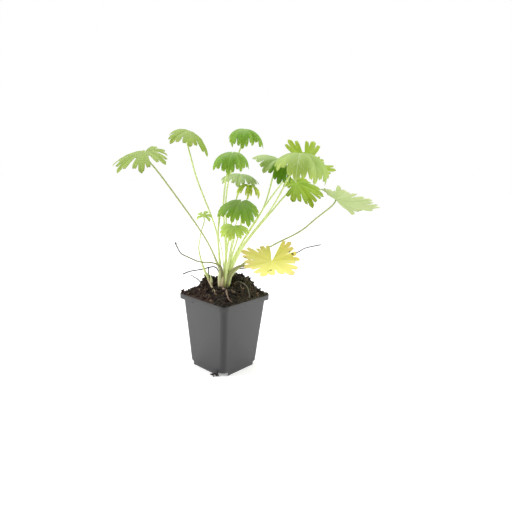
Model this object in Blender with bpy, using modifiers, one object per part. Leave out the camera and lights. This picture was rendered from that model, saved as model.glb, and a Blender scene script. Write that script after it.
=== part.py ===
"""A hardy geranium in its square nursery pot.

The world is in metres, +Z up. The origin is the middle of the pot's foot, and the plant's
front faces -Y. Places and lengths below are in millimetres, and angles in degrees.
"""
import math

import bmesh
import bpy
from mathutils import Matrix, Vector, noise
from mathutils.geometry import delaunay_2d_cdt

MM = 0.001
GAP = 0.3

# The pot: a tapered square nursery pot with a rolled rim
POT_TURN = 48.6
POT_HEIGHT = 100.0
POT_FOOT = 65.4
POT_RIM = 90.0
RIM_OVERHANG = 3.8
RIM_DROP = 6.5
POT_WALL = 1.0
CORNER_RADIUS = 8.0
CORNER_STEPS = 3
FLOOR_HEIGHT = 6.0
FOOT_FOLD = 3.0
FOOT_PAD = 8.0
FOOT_PAD_SIDES = 32
NOTCH_HEIGHT = 5.0
NOTCH_WIDTH = 12.0
NOTCH_DEPTH = 16.0
DRAIN_HOLE = 3.0
DRAIN_OFFSET = 17.0
DRAIN_SIDES = 12

# The soil: heaped above the rim, highest behind the stems
SOIL_CELLS = 18
SOIL_EDGE = 99.6
SOIL_DOME = 10.0
SOIL_HEAPS = ((8, 20, 24, 15, 17.0), (-27, 12, 11, 12, 15.0), (30, 6, 13, 13, 13.0),
              (16, -14, 20, 16, 2.0))
SOIL_LUMP = 2.4
SOIL_LUMP_SIZE = 9.0
LEAF_HOLE_TOP = 128.0
WELL_TOP = 132.0
STEM_HOLE_TOP = 128.0

# The crown: the top of the rootstock, with a seat for each stem
CROWN_RADIUS = 7.8
CROWN_FOOT = 84.0
CROWN_TOP = 110.5
CROWN_TAPER = 0.8
CROWN_SIDES = 20
SEAT_DEPTH = 9.5
SEAT_PITCH = 2.75
SEAT_ROW = 2.5
SEAT_CUT_ABOVE = 4.0

# Leaves: a rounded blade cut into wedge-shaped lobes, each with three blunt teeth
BLADE_THICKNESS = 0.7
LOBE_ANGLE = 47.0
LOBE_SHARE = (1.0, 0.97, 0.88, 0.70)
MIDDLE_TOOTH = (0.0, 0.37, 1.0)
SIDE_TOOTH = (0.635, 0.325, 0.80)
PLEAT = 0.10
RISE = 6.0
STALK_FOOT_RADIUS = 1.15
STALK_TIP_RADIUS = 0.95
STALK_SIDES_RESOLUTION = 2
STALK_STEP = 17.0
HUB_APPROACH = 9.0
HUB_EDGE_SHARE = 1.6
HUB_EDGE_POINTS = 5
OUTLINE_STEPS = (-1.0, -0.93, -0.80, -0.635, -0.50, -0.38, -0.25, 0.0, 0.25, 0.38, 0.50,
                 0.635, 0.80, 0.93)
MIDRIB_STEPS = (0.25, 0.5, 0.76)
SIDE_STEPS = ((-0.5, 0.5), (0.5, 0.5), (-0.52, 0.74), (0.52, 0.74))

GREEN = (0.23, 0.42, 0.06)
DARK_GREEN = (0.13, 0.30, 0.05)
BRIGHT_GREEN = (0.33, 0.52, 0.07)
PALE_GREEN = (0.50, 0.65, 0.25)
YELLOW = (0.85, 0.72, 0.12)

# Each leaf: where stalk and blade meet, the way and angle its face leans, the way its middle
# lobe points, that lobe's length, how far a lobe turns down, each lobe's own share of the
# length with its own extra droop, how deep the cuts between lobes go, as the share of the
# length that stays whole, the stalk's seat in the crown, and the points it passes
LEAVES = {
    "leaf_far_left": dict(
        hub=(-99, -20, 282), lean=(-116, 23), points=272, reach=42, droop=46, cut=0.46, width=0.88,
        lobes={-2: (1.3, -4), -1: (1.13, -5), 0: (1.08, -4), 1: (0.95, 4), 2: (0.77, 9),
               3: (0.66, -30), -3: (0.7, 10)},
        seat=(-2, 0), stalk=[(-5, -1, 126), (-9, -2, 138), (-28, -9, 179), (-77, -17, 249)], colour=GREEN),
    "leaf_upper_left": dict(
        hub=(-55, 30, 311), lean=(-48, 26), points=243, reach=38, droop=65, cut=0.58,
        lobes={-1: (0.72, 2), 0: (0.95, -3), 1: (0.95, -25), 2: (1.33, 0), -2: (0.8, 20),
               -3: (0.8, 20), 3: (0.9, 10)},
        seat=(-1.5, 1),
        stalk=[(-8, 5, 142), (-12, 9, 176), (-20, 13, 200), (-40, 24, 245), (-50, 29, 275)],
        colour=GREEN),
    "leaf_top": dict(
        hub=(19, 55, 318), lean=(-68, 11), points=269, reach=38, droop=99, cut=0.66,
        lobes={-2: (0.86, -16), -1: (1.0, 16), 0: (1.02, 4), 1: (0.85, 13), 2: (1.23, -6)},
        seat=(0, 2),
        stalk=[(0, 9, 140), (-1, 17, 191), (-3, 24, 219), (1, 38, 255), (14, 52, 292)],
        colour=DARK_GREEN),
    "leaf_upper_middle": dict(
        hub=(8, -35, 284), lean=(-93, 13), points=260, reach=35, droop=96, cut=0.7,
        lobes={-1: (1.02, -13), 0: (1.02, 11), 1: (0.92, 11), 2: (1.02, 4)},
        seat=(0.5, -1), stalk=[(1, -6, 150), (-2, -8, 195), (-3, -13, 223), (1, -26, 256)],
        colour=DARK_GREEN),
    "leaf_behind_middle": dict(
        hub=(17, 12, 258), lean=(-50, 7), points=266, reach=33, droop=60, cut=0.58, lobes={},
        seat=(-0.5, 1), stalk=[(0, 4, 145), (6, 6, 192), (12, 9, 225)], colour=GREEN),
    "leaf_young": dict(
        hub=(28, 14, 245), lean=(0, 8), points=275, reach=29, droop=108, count=5,
        cut=0.42, width=0.8,
        lobes={0: (1.0, 5), -1: (1.0, -10), 1: (1.0, -18), -2: (0.55, -50), 2: (0.9, -15)},
        seat=(0.5, 1), stalk=[(4, 5, 145), (12, 11, 192), (24, 14, 220)], radii=(0.9, 0.6),
        colour=BRIGHT_GREEN),
    "leaf_middle": dict(
        hub=(19, -38, 226), lean=(-83, 21), points=251, reach=36, droop=78, cut=0.62,
        lobes={-1: (1.0, -7), 0: (0.9, 5), 1: (1.06, 9), 2: (1.0, 3), 3: (1.08, -13)},
        seat=(0, 0), stalk=[(4, -2, 135), (10, -5, 158), (16, -8, 178), (20, -13, 200)],
        colour=DARK_GREEN),
    "leaf_lower_middle": dict(
        hub=(11, -25, 195.5), lean=(-89, 24), points=260, reach=24, droop=68, count=5, cut=0.55,
        lobes={-2: (0.95, -12), -1: (1.02, 14), 0: (0.98, 3), 1: (0.95, 12), 2: (1.1, -5)},
        seat=(0, -2), stalk=[(3, -9, 135), (8, -15, 161), (12, -20, 180)], radii=(1.0, 0.7),
        colour=BRIGHT_GREEN),
    "leaf_right_front": dict(
        hub=(64, 0, 278), lean=(-34, 28), points=244, reach=38, droop=73, cut=0.68,
        lobes={-1: (0.94, -23), 0: (0.92, 4), 1: (1.09, 10), 2: (1.06, 7)},
        seat=(1, 0), stalk=[(5, 1, 132), (19, 1, 165), (47, 1, 215), (58, 1, 255)],
        colour=GREEN),
    "leaf_right_large": dict(
        hub=(89, -28, 286), lean=(-51, 3), points=308, reach=54, droop=86, cut=0.72,
        lobes={-3: (0.78, -33), -2: (0.9, -6), -1: (1.0, 11), 0: (0.99, 28), 1: (1.1, 22),
               2: (1.24, -18), 3: (1.0, 10)},
        seat=(1.5, -1), stalk=[(7, -4, 131), (22, -8, 167), (57, -18, 217), (76, -24, 255)],
        colour=GREEN),
    "leaf_right_back": dict(
        hub=(106, 62, 272), lean=(-80, 44), points=78, reach=50, droop=6, cut=0.46,
        width=0.82,
        lobes={-1: (0.62, 0), 0: (1.01, -3), 1: (1.02, -11), 2: (0.7, 5), -2: (0.98, -22),
               3: (0.6, 10), -3: (0.7, 0)},
        seat=(1, 2), stalk=[(5, 7, 132), (18, 14, 163), (50, 30, 216), (80, 50, 255)],
        colour=BRIGHT_GREEN),
    "leaf_right_low": dict(
        hub=(91, 25, 249), lean=(-63, 45), points=313, reach=41, droop=22, cut=0.5,
        lobes={-1: (1.0, -14), 0: (1.02, 3), 1: (1.1, 5), -2: (0.62, 0), 2: (0.7, 10),
               -3: (0.6, 0), 3: (0.6, 0)},
        seat=(1.5, 1), stalk=[(7, 3, 130), (24, 7, 165), (59, 14, 211), (83, 21, 240)],
        colour=BRIGHT_GREEN),
    "leaf_far_right": dict(
        hub=(139, -10, 231), lean=(-27, 30), points=69, reach=53, droop=-14, cut=0.58,
        lobes={-3: (1.28, 18), -2: (1.2, -21), -1: (1.01, -16), 0: (0.97, 12),
               1: (0.44, 10), 2: (0.52, 22), 3: (0.5, 10)},
        seat=(2, 0),
        stalk=[(10, 1, 128), (38, 7, 151), (65, 9, 168), (97, 4, 187), (116, -1, 205)],
        colour=PALE_GREEN),
    "leaf_yellow": dict(
        hub=(60, -32, 154), lean=(-108, 28), points=255, reach=45, droop=-9, cut=0.52,
        lobes={-3: (0.98, 9), -2: (1.04, -9), -1: (0.89, -3), 0: (1.05, -12), 1: (1.09, 2),
               2: (0.91, 14), 3: (1.12, -21)},
        seat=(1, -2), stalk=[(7, -8, 129), (17, -11, 140), (30, -17, 143), (48, -26, 146)],
        colour=YELLOW),
    "leaf_small_left": dict(
        hub=(-29, -3, 203), lean=(-92, 35), points=80, reach=16, droop=65, count=5,
        cut=0.34, width=0.75,
        lobes={-2: (0.9, 35), -1: (0.97, 5), 0: (1.05, -26), 1: (1.0, -18), 2: (1.1, 35)},
        stalk=[(-21, 3, 108), (-22, 3, 118), (-27, 3, 128), (-32, 4, 141), (-36, 4, 158),
               (-35, 3, 169), (-32, 0, 185)],
        radii=(0.7, 0.55), colour=BRIGHT_GREEN),
}

# Plain stems: the points each passes, and its radius along them
STEMS = {
    "bud_stem": dict(
        seat=(-0.5, -1), colour=PALE_GREEN, radii=(0.8, 0.75, 0.7, 0.65, 0.6, 1.5, 1.7, 0.5),
        stalk=[(-2, -6, 140), (-4, -10, 160), (-7, -12, 173), (-9, -13, 185), (-8, -14, 203),
               (-7, -14, 209), (-7, -14, 216)]),
    "dry_stem_left": dict(
        seat=(-1, -2), colour=(0.22, 0.20, 0.08),
        radii=(0.8, 0.8, 0.8, 0.8, 0.75, 0.7, 0.65, 0.6, 0.5, 0.5, 1.3, 0.6),
        stalk=[(-3.5, -8, 130), (-5.5, -10, 139), (-11, -12, 143), (-19, -13, 145),
               (-33, -15, 146), (-47, -17, 152), (-56, -18, 157), (-61.5, -19, 167),
               (-62, -19, 168.2), (-62.4, -19, 169.6), (-62.8, -19, 171)]),
    "dry_stem_low_left": dict(
        colour=(0.05, 0.04, 0.05), radii=(0.75, 0.75, 0.75, 0.7, 0.65, 0.6, 0.75),
        stalk=[(-9, 9, 106), (-9, 9, 122), (-11, 10, 130), (-17, 10, 134), (-33, 9, 130),
               (-48, 8, 127), (-58, 7, 123)]),
    "dry_stem_right": dict(
        colour=(0.25, 0.22, 0.22), radii=(0.75, 0.75, 0.75, 0.75, 0.7, 0.65, 0.6, 0.6, 0.7),
        stalk=[(10, 11, 106), (11, 12, 122), (15, 14, 130), (22, 15, 132), (31, 16, 133),
               (60, 20, 140), (95, 24, 154), (108, 26, 161), (129, 28, 166)]),
    "side_shoot": dict(
        colour=(0.55, 0.55, 0.30), radii=(1.7, 1.8, 1.6, 1.1, 0.6),
        stalk=[(-18, -2, 104), (-18, -2, 112), (-18, -2, 118), (-18.5, -2, 121), (-19.5, -2, 125)]),
    "dry_stub": dict(
        colour=(0.05, 0.04, 0.03), radii=(0.9, 0.8, 0.6, 1.2),
        stalk=[(-24, 12, 112), (-24, 12, 120), (-23.5, 12, 129), (-24.5, 12, 133)]),
    "dry_twig": dict(
        colour=(0.25, 0.23, 0.18), radii=(0.7, 0.6, 0.5),
        stalk=[(-30, -4, 108), (-34, -5, 118), (-45, -7, 126)]),
}


def empty_scene():
    for thing in list(bpy.data.objects):
        bpy.data.objects.remove(thing, do_unlink=True)


def collection(name):
    made = bpy.data.collections.new(name)
    bpy.context.scene.collection.children.link(made)
    return made


def material(name, colour, roughness=0.5, metallic=0.0):
    made = bpy.data.materials.new(name)
    made.use_nodes = True
    shader = made.node_tree.nodes["Principled BSDF"]
    shader.inputs["Base Color"].default_value = (*colour, 1.0)
    shader.inputs["Roughness"].default_value = roughness
    shader.inputs["Metallic"].default_value = metallic
    return made


def mesh_object(name, mesh, group, finish=None):
    made = bpy.data.objects.new(name, mesh)
    group.objects.link(made)
    if finish:
        mesh.materials.append(finish)
    return made


def from_bmesh(name, bm, group, finish=None):
    mesh = bpy.data.meshes.new(name)
    bm.to_mesh(mesh)
    bm.free()
    return mesh_object(name, mesh, group, finish)


def settle(thing):
    """Make an object's modifiers, or a curve's tube, its own mesh, and weld the tube's caps."""
    bpy.context.view_layer.update()
    seen = thing.evaluated_get(bpy.context.evaluated_depsgraph_get())
    mesh = bpy.data.meshes.new_from_object(seen)
    bm = bmesh.new()
    bm.from_mesh(mesh)
    bmesh.ops.remove_doubles(bm, verts=bm.verts, dist=0.00001)
    bm.to_mesh(mesh)
    bm.free()
    return mesh


def cut(thing, cutters):
    """Cut every object of a collection out of a piece."""
    for cutter in cutters.objects:
        cutter.hide_render = True
        cutter.display_type = "WIRE"
    step = thing.modifiers.new("cut", "BOOLEAN")
    step.operation = "DIFFERENCE"
    step.operand_type = "COLLECTION"
    step.collection = cutters


def smooth_route(points, step):
    """Points about a step apart along one smooth curve through the points of a route."""
    knots = [Vector(p) for p in points]
    knots = [2 * knots[0] - knots[1]] + knots + [2 * knots[-1] - knots[-2]]
    route = []
    shares = []
    for i in range(1, len(knots) - 2):
        before, here, there, after = knots[i - 1:i + 3]
        parts = max(1, round((there - here).length / step))
        for k in range(parts):
            t = k / parts
            route.append(0.5 * (2 * here + (there - before) * t
                                + (2 * before - 5 * here + 4 * there - after) * t * t
                                + (3 * here - before - 3 * there + after) * t ** 3))
            shares.append((i - 1 + t) / (len(knots) - 3))
    route.append(knots[-2])
    shares.append(1.0)
    return route, shares


def radius_at(radii, share):
    """A radius read from a list that runs evenly from a stem's foot to its tip."""
    place = share * (len(radii) - 1)
    i = min(int(place), len(radii) - 2)
    return radii[i] + (radii[i + 1] - radii[i]) * (place - i)


def tube(name, route, radii, group, finish=None):
    """A round stem along a route, each point with its own radius."""
    curve = bpy.data.curves.new(name, "CURVE")
    curve.dimensions = "3D"
    curve.bevel_depth = MM
    curve.bevel_resolution = STALK_SIDES_RESOLUTION
    curve.use_fill_caps = True
    line = curve.splines.new("POLY")
    line.points.add(len(route) - 1)
    for point, place, radius in zip(line.points, route, radii):
        point.co = (*(place * MM), 1.0)
        point.radius = radius
    made = bpy.data.objects.new(name, curve)
    group.objects.link(made)
    mesh = settle(made)
    bpy.data.objects.remove(made, do_unlink=True)
    return mesh_object(name, mesh, group, finish)


def stalk_route(spec):
    """A stalk from its seat in the crown, or its hole in the soil, to its last point."""
    points = [Vector(p) for p in spec["stalk"]]
    if "seat" in spec:
        across, up = spec["seat"]
        foot = Vector((across * SEAT_PITCH, up * SEAT_ROW, CROWN_TOP - SEAT_DEPTH))
        points = [foot, foot + Vector((0, 0, SEAT_DEPTH - 0.5))] + points
    return points


def hole_cutter(name, route, radius, top, group):
    """A plain hole round the foot of a stalk, a gap wider, open above."""
    foot = [p for p in route if p.z < top]
    beyond = route[len(foot):len(foot) + 1]
    down = (foot[0] - route[1]).normalized() * GAP
    foot = [foot[0] + down] + foot[1:] + beyond
    tube(name, foot, [radius + GAP] * len(foot), group)


# Pot

def tapered_box(bottom, top, low, high, radius):
    """A square box that widens upwards, with rounded uprights."""
    bm = bmesh.new()
    bmesh.ops.create_cube(bm, size=1.0)
    for v in bm.verts:
        width = top if v.co.z > 0 else bottom
        v.co = Vector((v.co.x * width, v.co.y * width, high if v.co.z > 0 else low)) * MM
    uprights = [e for e in bm.edges if abs(e.verts[0].co.z - e.verts[1].co.z) > MM]
    bmesh.ops.bevel(bm, geom=uprights, offset=radius * MM, segments=CORNER_STEPS,
                    profile=0.5, affect="EDGES")
    return bm


def wall_width(height):
    """The pot wall's outer width at a height."""
    top = POT_RIM - 2 * RIM_OVERHANG
    return POT_FOOT + (top - POT_FOOT) * height / POT_HEIGHT


def widen(verts, share, lift=0.0):
    for v in verts:
        v.co = Vector((v.co.x * share, v.co.y * share, v.co.z + lift * MM))


def extrude_rim(bm, edges):
    grown = bmesh.ops.extrude_edge_only(bm, edges=edges)["geom"]
    verts = [g for g in grown if isinstance(g, bmesh.types.BMVert)]
    return verts, [g for g in grown if isinstance(g, bmesh.types.BMEdge)]


def drum(radius, low, high, sides, group, name):
    """An upright round block, centred on the origin."""
    bm = bmesh.new()
    bmesh.ops.create_cone(bm, cap_ends=True, segments=sides, radius1=radius * MM,
                          radius2=radius * MM, depth=(high - low) * MM)
    lift = Matrix.Translation((0, 0, (high + low) / 2 * MM))
    bmesh.ops.transform(bm, matrix=lift, verts=bm.verts)
    return from_bmesh(name, bm, group)


def build_pot(group, cutters, pads):
    """The walls fold up inside the foot to a raised floor, which a round pad bears as well."""
    under_rim = POT_HEIGHT - POT_WALL
    bm = tapered_box(POT_FOOT, wall_width(under_rim), 0.0, under_rim, CORNER_RADIUS)
    lid = max(bm.faces, key=lambda f: f.calc_center_median().z)
    sole = min(bm.faces, key=lambda f: f.calc_center_median().z)
    rim = list(lid.edges)
    inner = list(sole.edges)
    bmesh.ops.delete(bm, geom=[lid, sole], context="FACES_ONLY")
    share = 1.0 - 2 * FOOT_FOLD / POT_FOOT
    verts, inner = extrude_rim(bm, inner)
    widen(verts, share)
    verts, inner = extrude_rim(bm, inner)
    widen(verts, 1.0, FLOOR_HEIGHT)
    bmesh.ops.contextual_create(bm, geom=inner)
    half = wall_width(under_rim) / 2
    verts, rim = extrude_rim(bm, rim)
    widen(verts, (half + RIM_OVERHANG - POT_WALL) / half)
    verts, rim = extrude_rim(bm, rim)
    widen(verts, 1.0, POT_WALL - RIM_DROP)
    bmesh.ops.recalc_face_normals(bm, faces=bm.faces)
    wall = max(bm.faces, key=lambda f: f.calc_area())
    if wall.normal.dot(wall.calc_center_median()) < 0:
        bmesh.ops.reverse_faces(bm, faces=bm.faces)
    finish = material("pot_plastic", (0.13, 0.13, 0.135), 0.45)
    pot = from_bmesh("pot", bm, group, finish)
    pot.rotation_euler.z = math.radians(POT_TURN)
    shell = pot.modifiers.new("wall", "SOLIDIFY")
    shell.thickness = POT_WALL * MM
    shell.offset = -1.0
    shell.use_even_offset = True
    for k in range(4):
        turn = Matrix.Rotation(math.radians(45 + 90 * k + POT_TURN), 4, "Z")
        box = bmesh.new()
        bmesh.ops.create_cube(box, size=1.0)
        corner = POT_FOOT / math.sqrt(2) - CORNER_RADIUS * (math.sqrt(2) - 1)
        size = Matrix.Diagonal((NOTCH_DEPTH * MM, NOTCH_WIDTH * MM, 2 * NOTCH_HEIGHT * MM, 1))
        place = turn @ Matrix.Translation((corner * MM, 0, 0)) @ size
        bmesh.ops.transform(box, matrix=place, verts=box.verts)
        from_bmesh("notch_cutter", box, cutters)
        drain = drum(DRAIN_HOLE, FLOOR_HEIGHT - 1, FLOOR_HEIGHT + POT_WALL + 1, DRAIN_SIDES,
                     cutters, "drain_cutter")
        drain.matrix_world = turn @ Matrix.Translation((DRAIN_OFFSET * MM, 0, 0))
    pad = drum(FOOT_PAD, 0.0, FLOOR_HEIGHT + POT_WALL / 2, FOOT_PAD_SIDES, pads, "foot_pad")
    pad.hide_render = True
    pad.display_type = "WIRE"
    joined = pot.modifiers.new("pad", "BOOLEAN")
    joined.operation = "UNION"
    joined.operand_type = "COLLECTION"
    joined.collection = pads
    cut(pot, cutters)
    return pot


# Soil

def rounded(x, y, half, radius):
    """A point of a square, drawn in so that the square's corners become round."""
    ring = max(abs(x), abs(y))
    if ring < 1e-9:
        return x, y
    edge_x, edge_y = x / ring * half, y / ring * half
    corner = half - radius
    if abs(edge_x) > corner and abs(edge_y) > corner:
        centre = Vector((math.copysign(corner, edge_x), math.copysign(corner, edge_y)))
        out = Vector((edge_x, edge_y)) - centre
        out = centre + out.normalized() * radius
        edge_x, edge_y = out
    share = ring / half
    return edge_x * share, edge_y * share


def soil_height(x, y, ring):
    """Height of the soil at a place, where ring runs from 0 in the middle to 1 at the wall."""
    away = 1.0 - ring ** 4
    high = SOIL_EDGE + SOIL_DOME * (1.0 - ring * ring) ** 0.8
    for heap_x, heap_y, wide, deep, rise in SOIL_HEAPS:
        off = ((x - heap_x) / wide) ** 2 + ((y - heap_y) / deep) ** 2
        high += rise * math.exp(-off) * away
    lump = noise.noise(Vector((x, y, 7.0)) / SOIL_LUMP_SIZE)
    return high + SOIL_LUMP * lump * away


def build_soil(group, cutters):
    half = wall_width(SOIL_EDGE) / 2 - POT_WALL - GAP
    low = FLOOR_HEIGHT + POT_WALL + GAP
    low_half = wall_width(low) / 2 - FOOT_FOLD - GAP
    turn = math.radians(POT_TURN)
    bm = bmesh.new()
    bmesh.ops.create_grid(bm, x_segments=SOIL_CELLS, y_segments=SOIL_CELLS, size=half)
    border = [e for e in bm.edges if e.is_boundary]
    grown = bmesh.ops.extrude_edge_only(bm, edges=border)["geom"]
    foot = {g for g in grown if isinstance(g, bmesh.types.BMVert)}
    for v in bm.verts:
        ring = min(1.0, max(abs(v.co.x), abs(v.co.y)) / half)
        corner = CORNER_RADIUS + 2 * GAP
        if v in foot:
            share = low_half / half
            x, y = rounded(v.co.x * share, v.co.y * share, low_half, corner)
            v.co = Vector((x, y, low)) * MM
        else:
            x, y = rounded(v.co.x, v.co.y, half, corner)
            world_x = x * math.cos(turn) - y * math.sin(turn)
            world_y = x * math.sin(turn) + y * math.cos(turn)
            v.co = Vector((x, y, soil_height(world_x, world_y, ring))) * MM
    bmesh.ops.contextual_create(bm, geom=[e for e in bm.edges if e.is_boundary])
    bmesh.ops.recalc_face_normals(bm, faces=bm.faces)
    soil = from_bmesh("soil", bm, group, material("peat_soil", (0.022, 0.016, 0.012), 0.95))
    soil.rotation_euler.z = turn
    drum(CROWN_RADIUS + GAP, CROWN_FOOT - GAP, WELL_TOP, CROWN_SIDES, cutters, "crown_well")
    cut(soil, cutters)
    return soil


# Crown

def build_crown(group, cutters):
    bm = bmesh.new()
    bmesh.ops.create_cone(bm, cap_ends=True, segments=CROWN_SIDES,
                          radius1=CROWN_TAPER * CROWN_RADIUS * MM,
                          radius2=CROWN_RADIUS * MM, depth=(CROWN_TOP - CROWN_FOOT) * MM)
    lift = Matrix.Translation((0, 0, (CROWN_TOP + CROWN_FOOT) / 2 * MM))
    bmesh.ops.transform(bm, matrix=lift, verts=bm.verts)
    crown = from_bmesh("crown", bm, group, material("rootstock", (0.10, 0.07, 0.04), 0.85))
    cut(crown, cutters)
    return crown


# Leaves

def bump(t, at, half, high):
    """A blunt tooth of a given height on the lobe's edge."""
    off = abs(t - at) / half
    return high * math.sqrt(1.0 - off ** 3) if off < 1.0 else 0.0


def lobe_edge(t, cut):
    """How far a lobe's edge reaches, as a share of its length, at t = -1..1 across it."""
    body = max(bump(abs(t), *MIDDLE_TOOTH), bump(abs(t), *SIDE_TOOTH))
    return cut + (1.0 - cut) * body


def ease(x):
    return x * x * (3.0 - 2.0 * x)


class Blade:
    """The form of one leaf's blade, flat first and then bent down over its stalk."""

    def __init__(self, spec):
        self.reach = spec["reach"]
        self.droop = spec["droop"]
        self.count = spec.get("count", 7)
        self.middle = self.count // 2
        self.half_span = self.count * LOBE_ANGLE / 2
        self.own = spec["lobes"]
        self.cut = spec["cut"]
        self.width = spec.get("width", 1.0)

    def lobe(self, i):
        """Length and droop of one lobe, counted from the middle one."""
        i = max(-self.middle, min(self.middle, i))
        share, extra = self.own.get(i, (1.0, 0.0))
        return self.reach * LOBE_SHARE[abs(i)] * share, self.droop + extra

    def at(self, angle):
        """Lobe and place across it at an angle from the middle lobe."""
        i = max(-self.middle, min(self.middle, round(angle / LOBE_ANGLE)))
        t = (angle - i * LOBE_ANGLE) / (LOBE_ANGLE / 2)
        return i, t

    def shared(self, i, t):
        """Length and droop, blended with the next lobe towards the cut between the two."""
        length, droop = self.lobe(i)
        next_length, next_droop = self.lobe(i + (1 if t > 0 else -1))
        part = ease(min(1.0, abs(t))) / 2
        return length + (next_length - length) * part, droop + (next_droop - droop) * part

    def edge(self, angle):
        """Flat distance from the hub to the blade's edge."""
        i, t = self.at(angle)
        a = min(1.0, abs(t))
        own, _ = self.lobe(i)
        blend, _ = self.shared(i, t)
        reach = own * (1.0 - a ** 6) + blend * a ** 6
        return lobe_edge(t / self.width, self.cut) * reach

    def bend(self, x, y):
        """A flat point carried onto the bent blade."""
        r = math.hypot(x, y)
        angle = math.degrees(math.atan2(y, x))
        i, t = self.at(angle)
        length, droop = self.shared(i, t)
        curl = math.radians(droop) / length
        start = -math.radians(RISE)
        end = start + curl * r
        if abs(curl) < 1e-6:
            out, down = r * math.cos(start), r * math.sin(start)
        else:
            out = (math.sin(end) - math.sin(start)) / curl
            down = (math.cos(start) - math.cos(end)) / curl
        a = min(1.0, abs(t))
        up = PLEAT * r * a * (1.0 - 0.35 * a) - down
        turn = math.radians(angle)
        return Vector((out * math.cos(turn), out * math.sin(turn), up))


def blade_mesh(blade, hub_radius):
    """The open upper face of a blade, triangulated between its edge, midribs and hub."""
    points = []

    def put(angle, r):
        turn = math.radians(angle)
        points.append(Vector((r * math.cos(turn), r * math.sin(turn))))

    for i in range(-blade.middle, blade.middle + 1):
        for t in OUTLINE_STEPS:
            angle = (i + t * blade.width / 2) * LOBE_ANGLE
            put(angle, blade.edge(angle))
    put(blade.half_span, blade.edge(blade.half_span))
    for k in range(HUB_EDGE_POINTS):
        share = k / (HUB_EDGE_POINTS - 1)
        put(blade.half_span + (360 - 2 * blade.half_span) * share, hub_radius * HUB_EDGE_SHARE)
    rim = len(points)
    for i in range(-blade.middle, blade.middle + 1):
        length, _ = blade.lobe(i)
        for share in MIDRIB_STEPS:
            put(i * LOBE_ANGLE, share * length)
        for t, share in SIDE_STEPS:
            put((i + t / 2) * LOBE_ANGLE, share * length)
    put(0.0, 0.0)
    edges = [(k, (k + 1) % rim) for k in range(rim)]
    flat, _, faces, *_ = delaunay_2d_cdt(points, edges, [list(range(rim))], 1, 1e-4)
    mesh = bpy.data.meshes.new("blade")
    mesh.from_pydata([blade.bend(*p) * MM for p in flat], [], faces)
    bm = bmesh.new()
    bm.from_mesh(mesh)
    bmesh.ops.recalc_face_normals(bm, faces=bm.faces)
    if sum(f.normal.z for f in bm.faces) < 0:
        bmesh.ops.reverse_faces(bm, faces=bm.faces)
    bm.to_mesh(mesh)
    bm.free()
    return mesh


def leaf_frame(spec):
    """Where a blade stands: its face leans one way and its middle lobe points another."""
    toward, tilt = (math.radians(v) for v in spec["lean"])
    axis = Vector((-math.sin(toward), math.cos(toward), 0.0))
    turn = Matrix.Rotation(math.radians(spec["points"]), 4, "Z")
    return (Matrix.Translation(Vector(spec["hub"]) * MM)
            @ Matrix.Rotation(tilt, 4, axis) @ turn)


def build_leaf(name, spec, group, well_group, soil_group):
    radii = spec.get("radii", (STALK_FOOT_RADIUS, STALK_TIP_RADIUS))
    frame = leaf_frame(spec)
    face = (frame.to_3x3() @ Vector((0, 0, 1))).normalized()
    hub = Vector(spec["hub"])
    points = stalk_route(spec)
    points += [hub - face * HUB_APPROACH, hub - face * BLADE_THICKNESS * 0.3]
    route, shares = smooth_route(points, STALK_STEP)
    finish = material(name + "_green", spec["colour"], 0.55)
    blade = mesh_object(name, blade_mesh(Blade(spec), radii[1]), group, finish)
    blade.matrix_world = frame
    thick = blade.modifiers.new("thickness", "SOLIDIFY")
    thick.thickness = BLADE_THICKNESS * MM
    thick.offset = -1.0
    joined = collection(name + "_stalk")
    tube(name + "_stalk", route, [radius_at(radii, s) for s in shares], joined)
    union = blade.modifiers.new("stalk", "BOOLEAN")
    union.operation = "UNION"
    union.operand_type = "COLLECTION"
    union.collection = joined
    mesh = settle(blade)
    mesh.name = name
    blade.modifiers.clear()
    blade.data = mesh
    for part in list(joined.objects):
        bpy.data.objects.remove(part, do_unlink=True)
    bpy.data.collections.remove(joined)
    if "seat" in spec:
        hole_cutter(name + "_seat", route, radii[0], CROWN_TOP + SEAT_CUT_ABOVE, well_group)
    else:
        hole_cutter(name + "_hole", route, radii[0], LEAF_HOLE_TOP, soil_group)
    return blade


def build_stem(name, spec, group, well_group, soil_group):
    points = stalk_route(spec)
    route, shares = smooth_route(points, STALK_STEP / 2)
    finish = material(name + "_skin", spec["colour"], 0.7)
    radii = spec["radii"]
    stem = tube(name, route, [radius_at(radii, s) for s in shares], group, finish)
    if "seat" in spec:
        hole_cutter(name + "_seat", route, radii[0], CROWN_TOP + SEAT_CUT_ABOVE, well_group)
    else:
        hole_cutter(name + "_hole", route, max(radii[:3]), STEM_HOLE_TOP, soil_group)
    return stem


def build():
    empty_scene()
    group = collection("hardy_geranium")
    pot_cutters = collection("pot_cutters")
    pot_pads = collection("pot_pads")
    soil_cutters = collection("soil_cutters")
    crown_cutters = collection("crown_cutters")
    for name, spec in LEAVES.items():
        build_leaf(name, spec, group, crown_cutters, soil_cutters)
    for name, spec in STEMS.items():
        build_stem(name, spec, group, crown_cutters, soil_cutters)
    build_pot(group, pot_cutters, pot_pads)
    build_soil(group, soil_cutters)
    build_crown(group, crown_cutters)


build()
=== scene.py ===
# %% [markdown]
# # A hardy geranium in its nursery pot
#
# The object is a young hardy geranium, bought as a small pot plant. Its leaves stand on long
# stalks, and each is cut into wedge-shaped lobes with blunt teeth, that droop like an umbrella.
# One old leaf has turned yellow, and a few dried stems stick out beside it. The pot is heaped
# with damp peat.
#
# The solid model is the frame: every leaf, stem and the pot already stand where they belong.
# Here each of them gets the fine form and the finish that the solids don't have. Places and
# lengths are written in millimetres, and angles in degrees.

# %% Load the frame
import math
import random

import bmesh
import bpy
from mathutils import Matrix, Vector, noise


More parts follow.
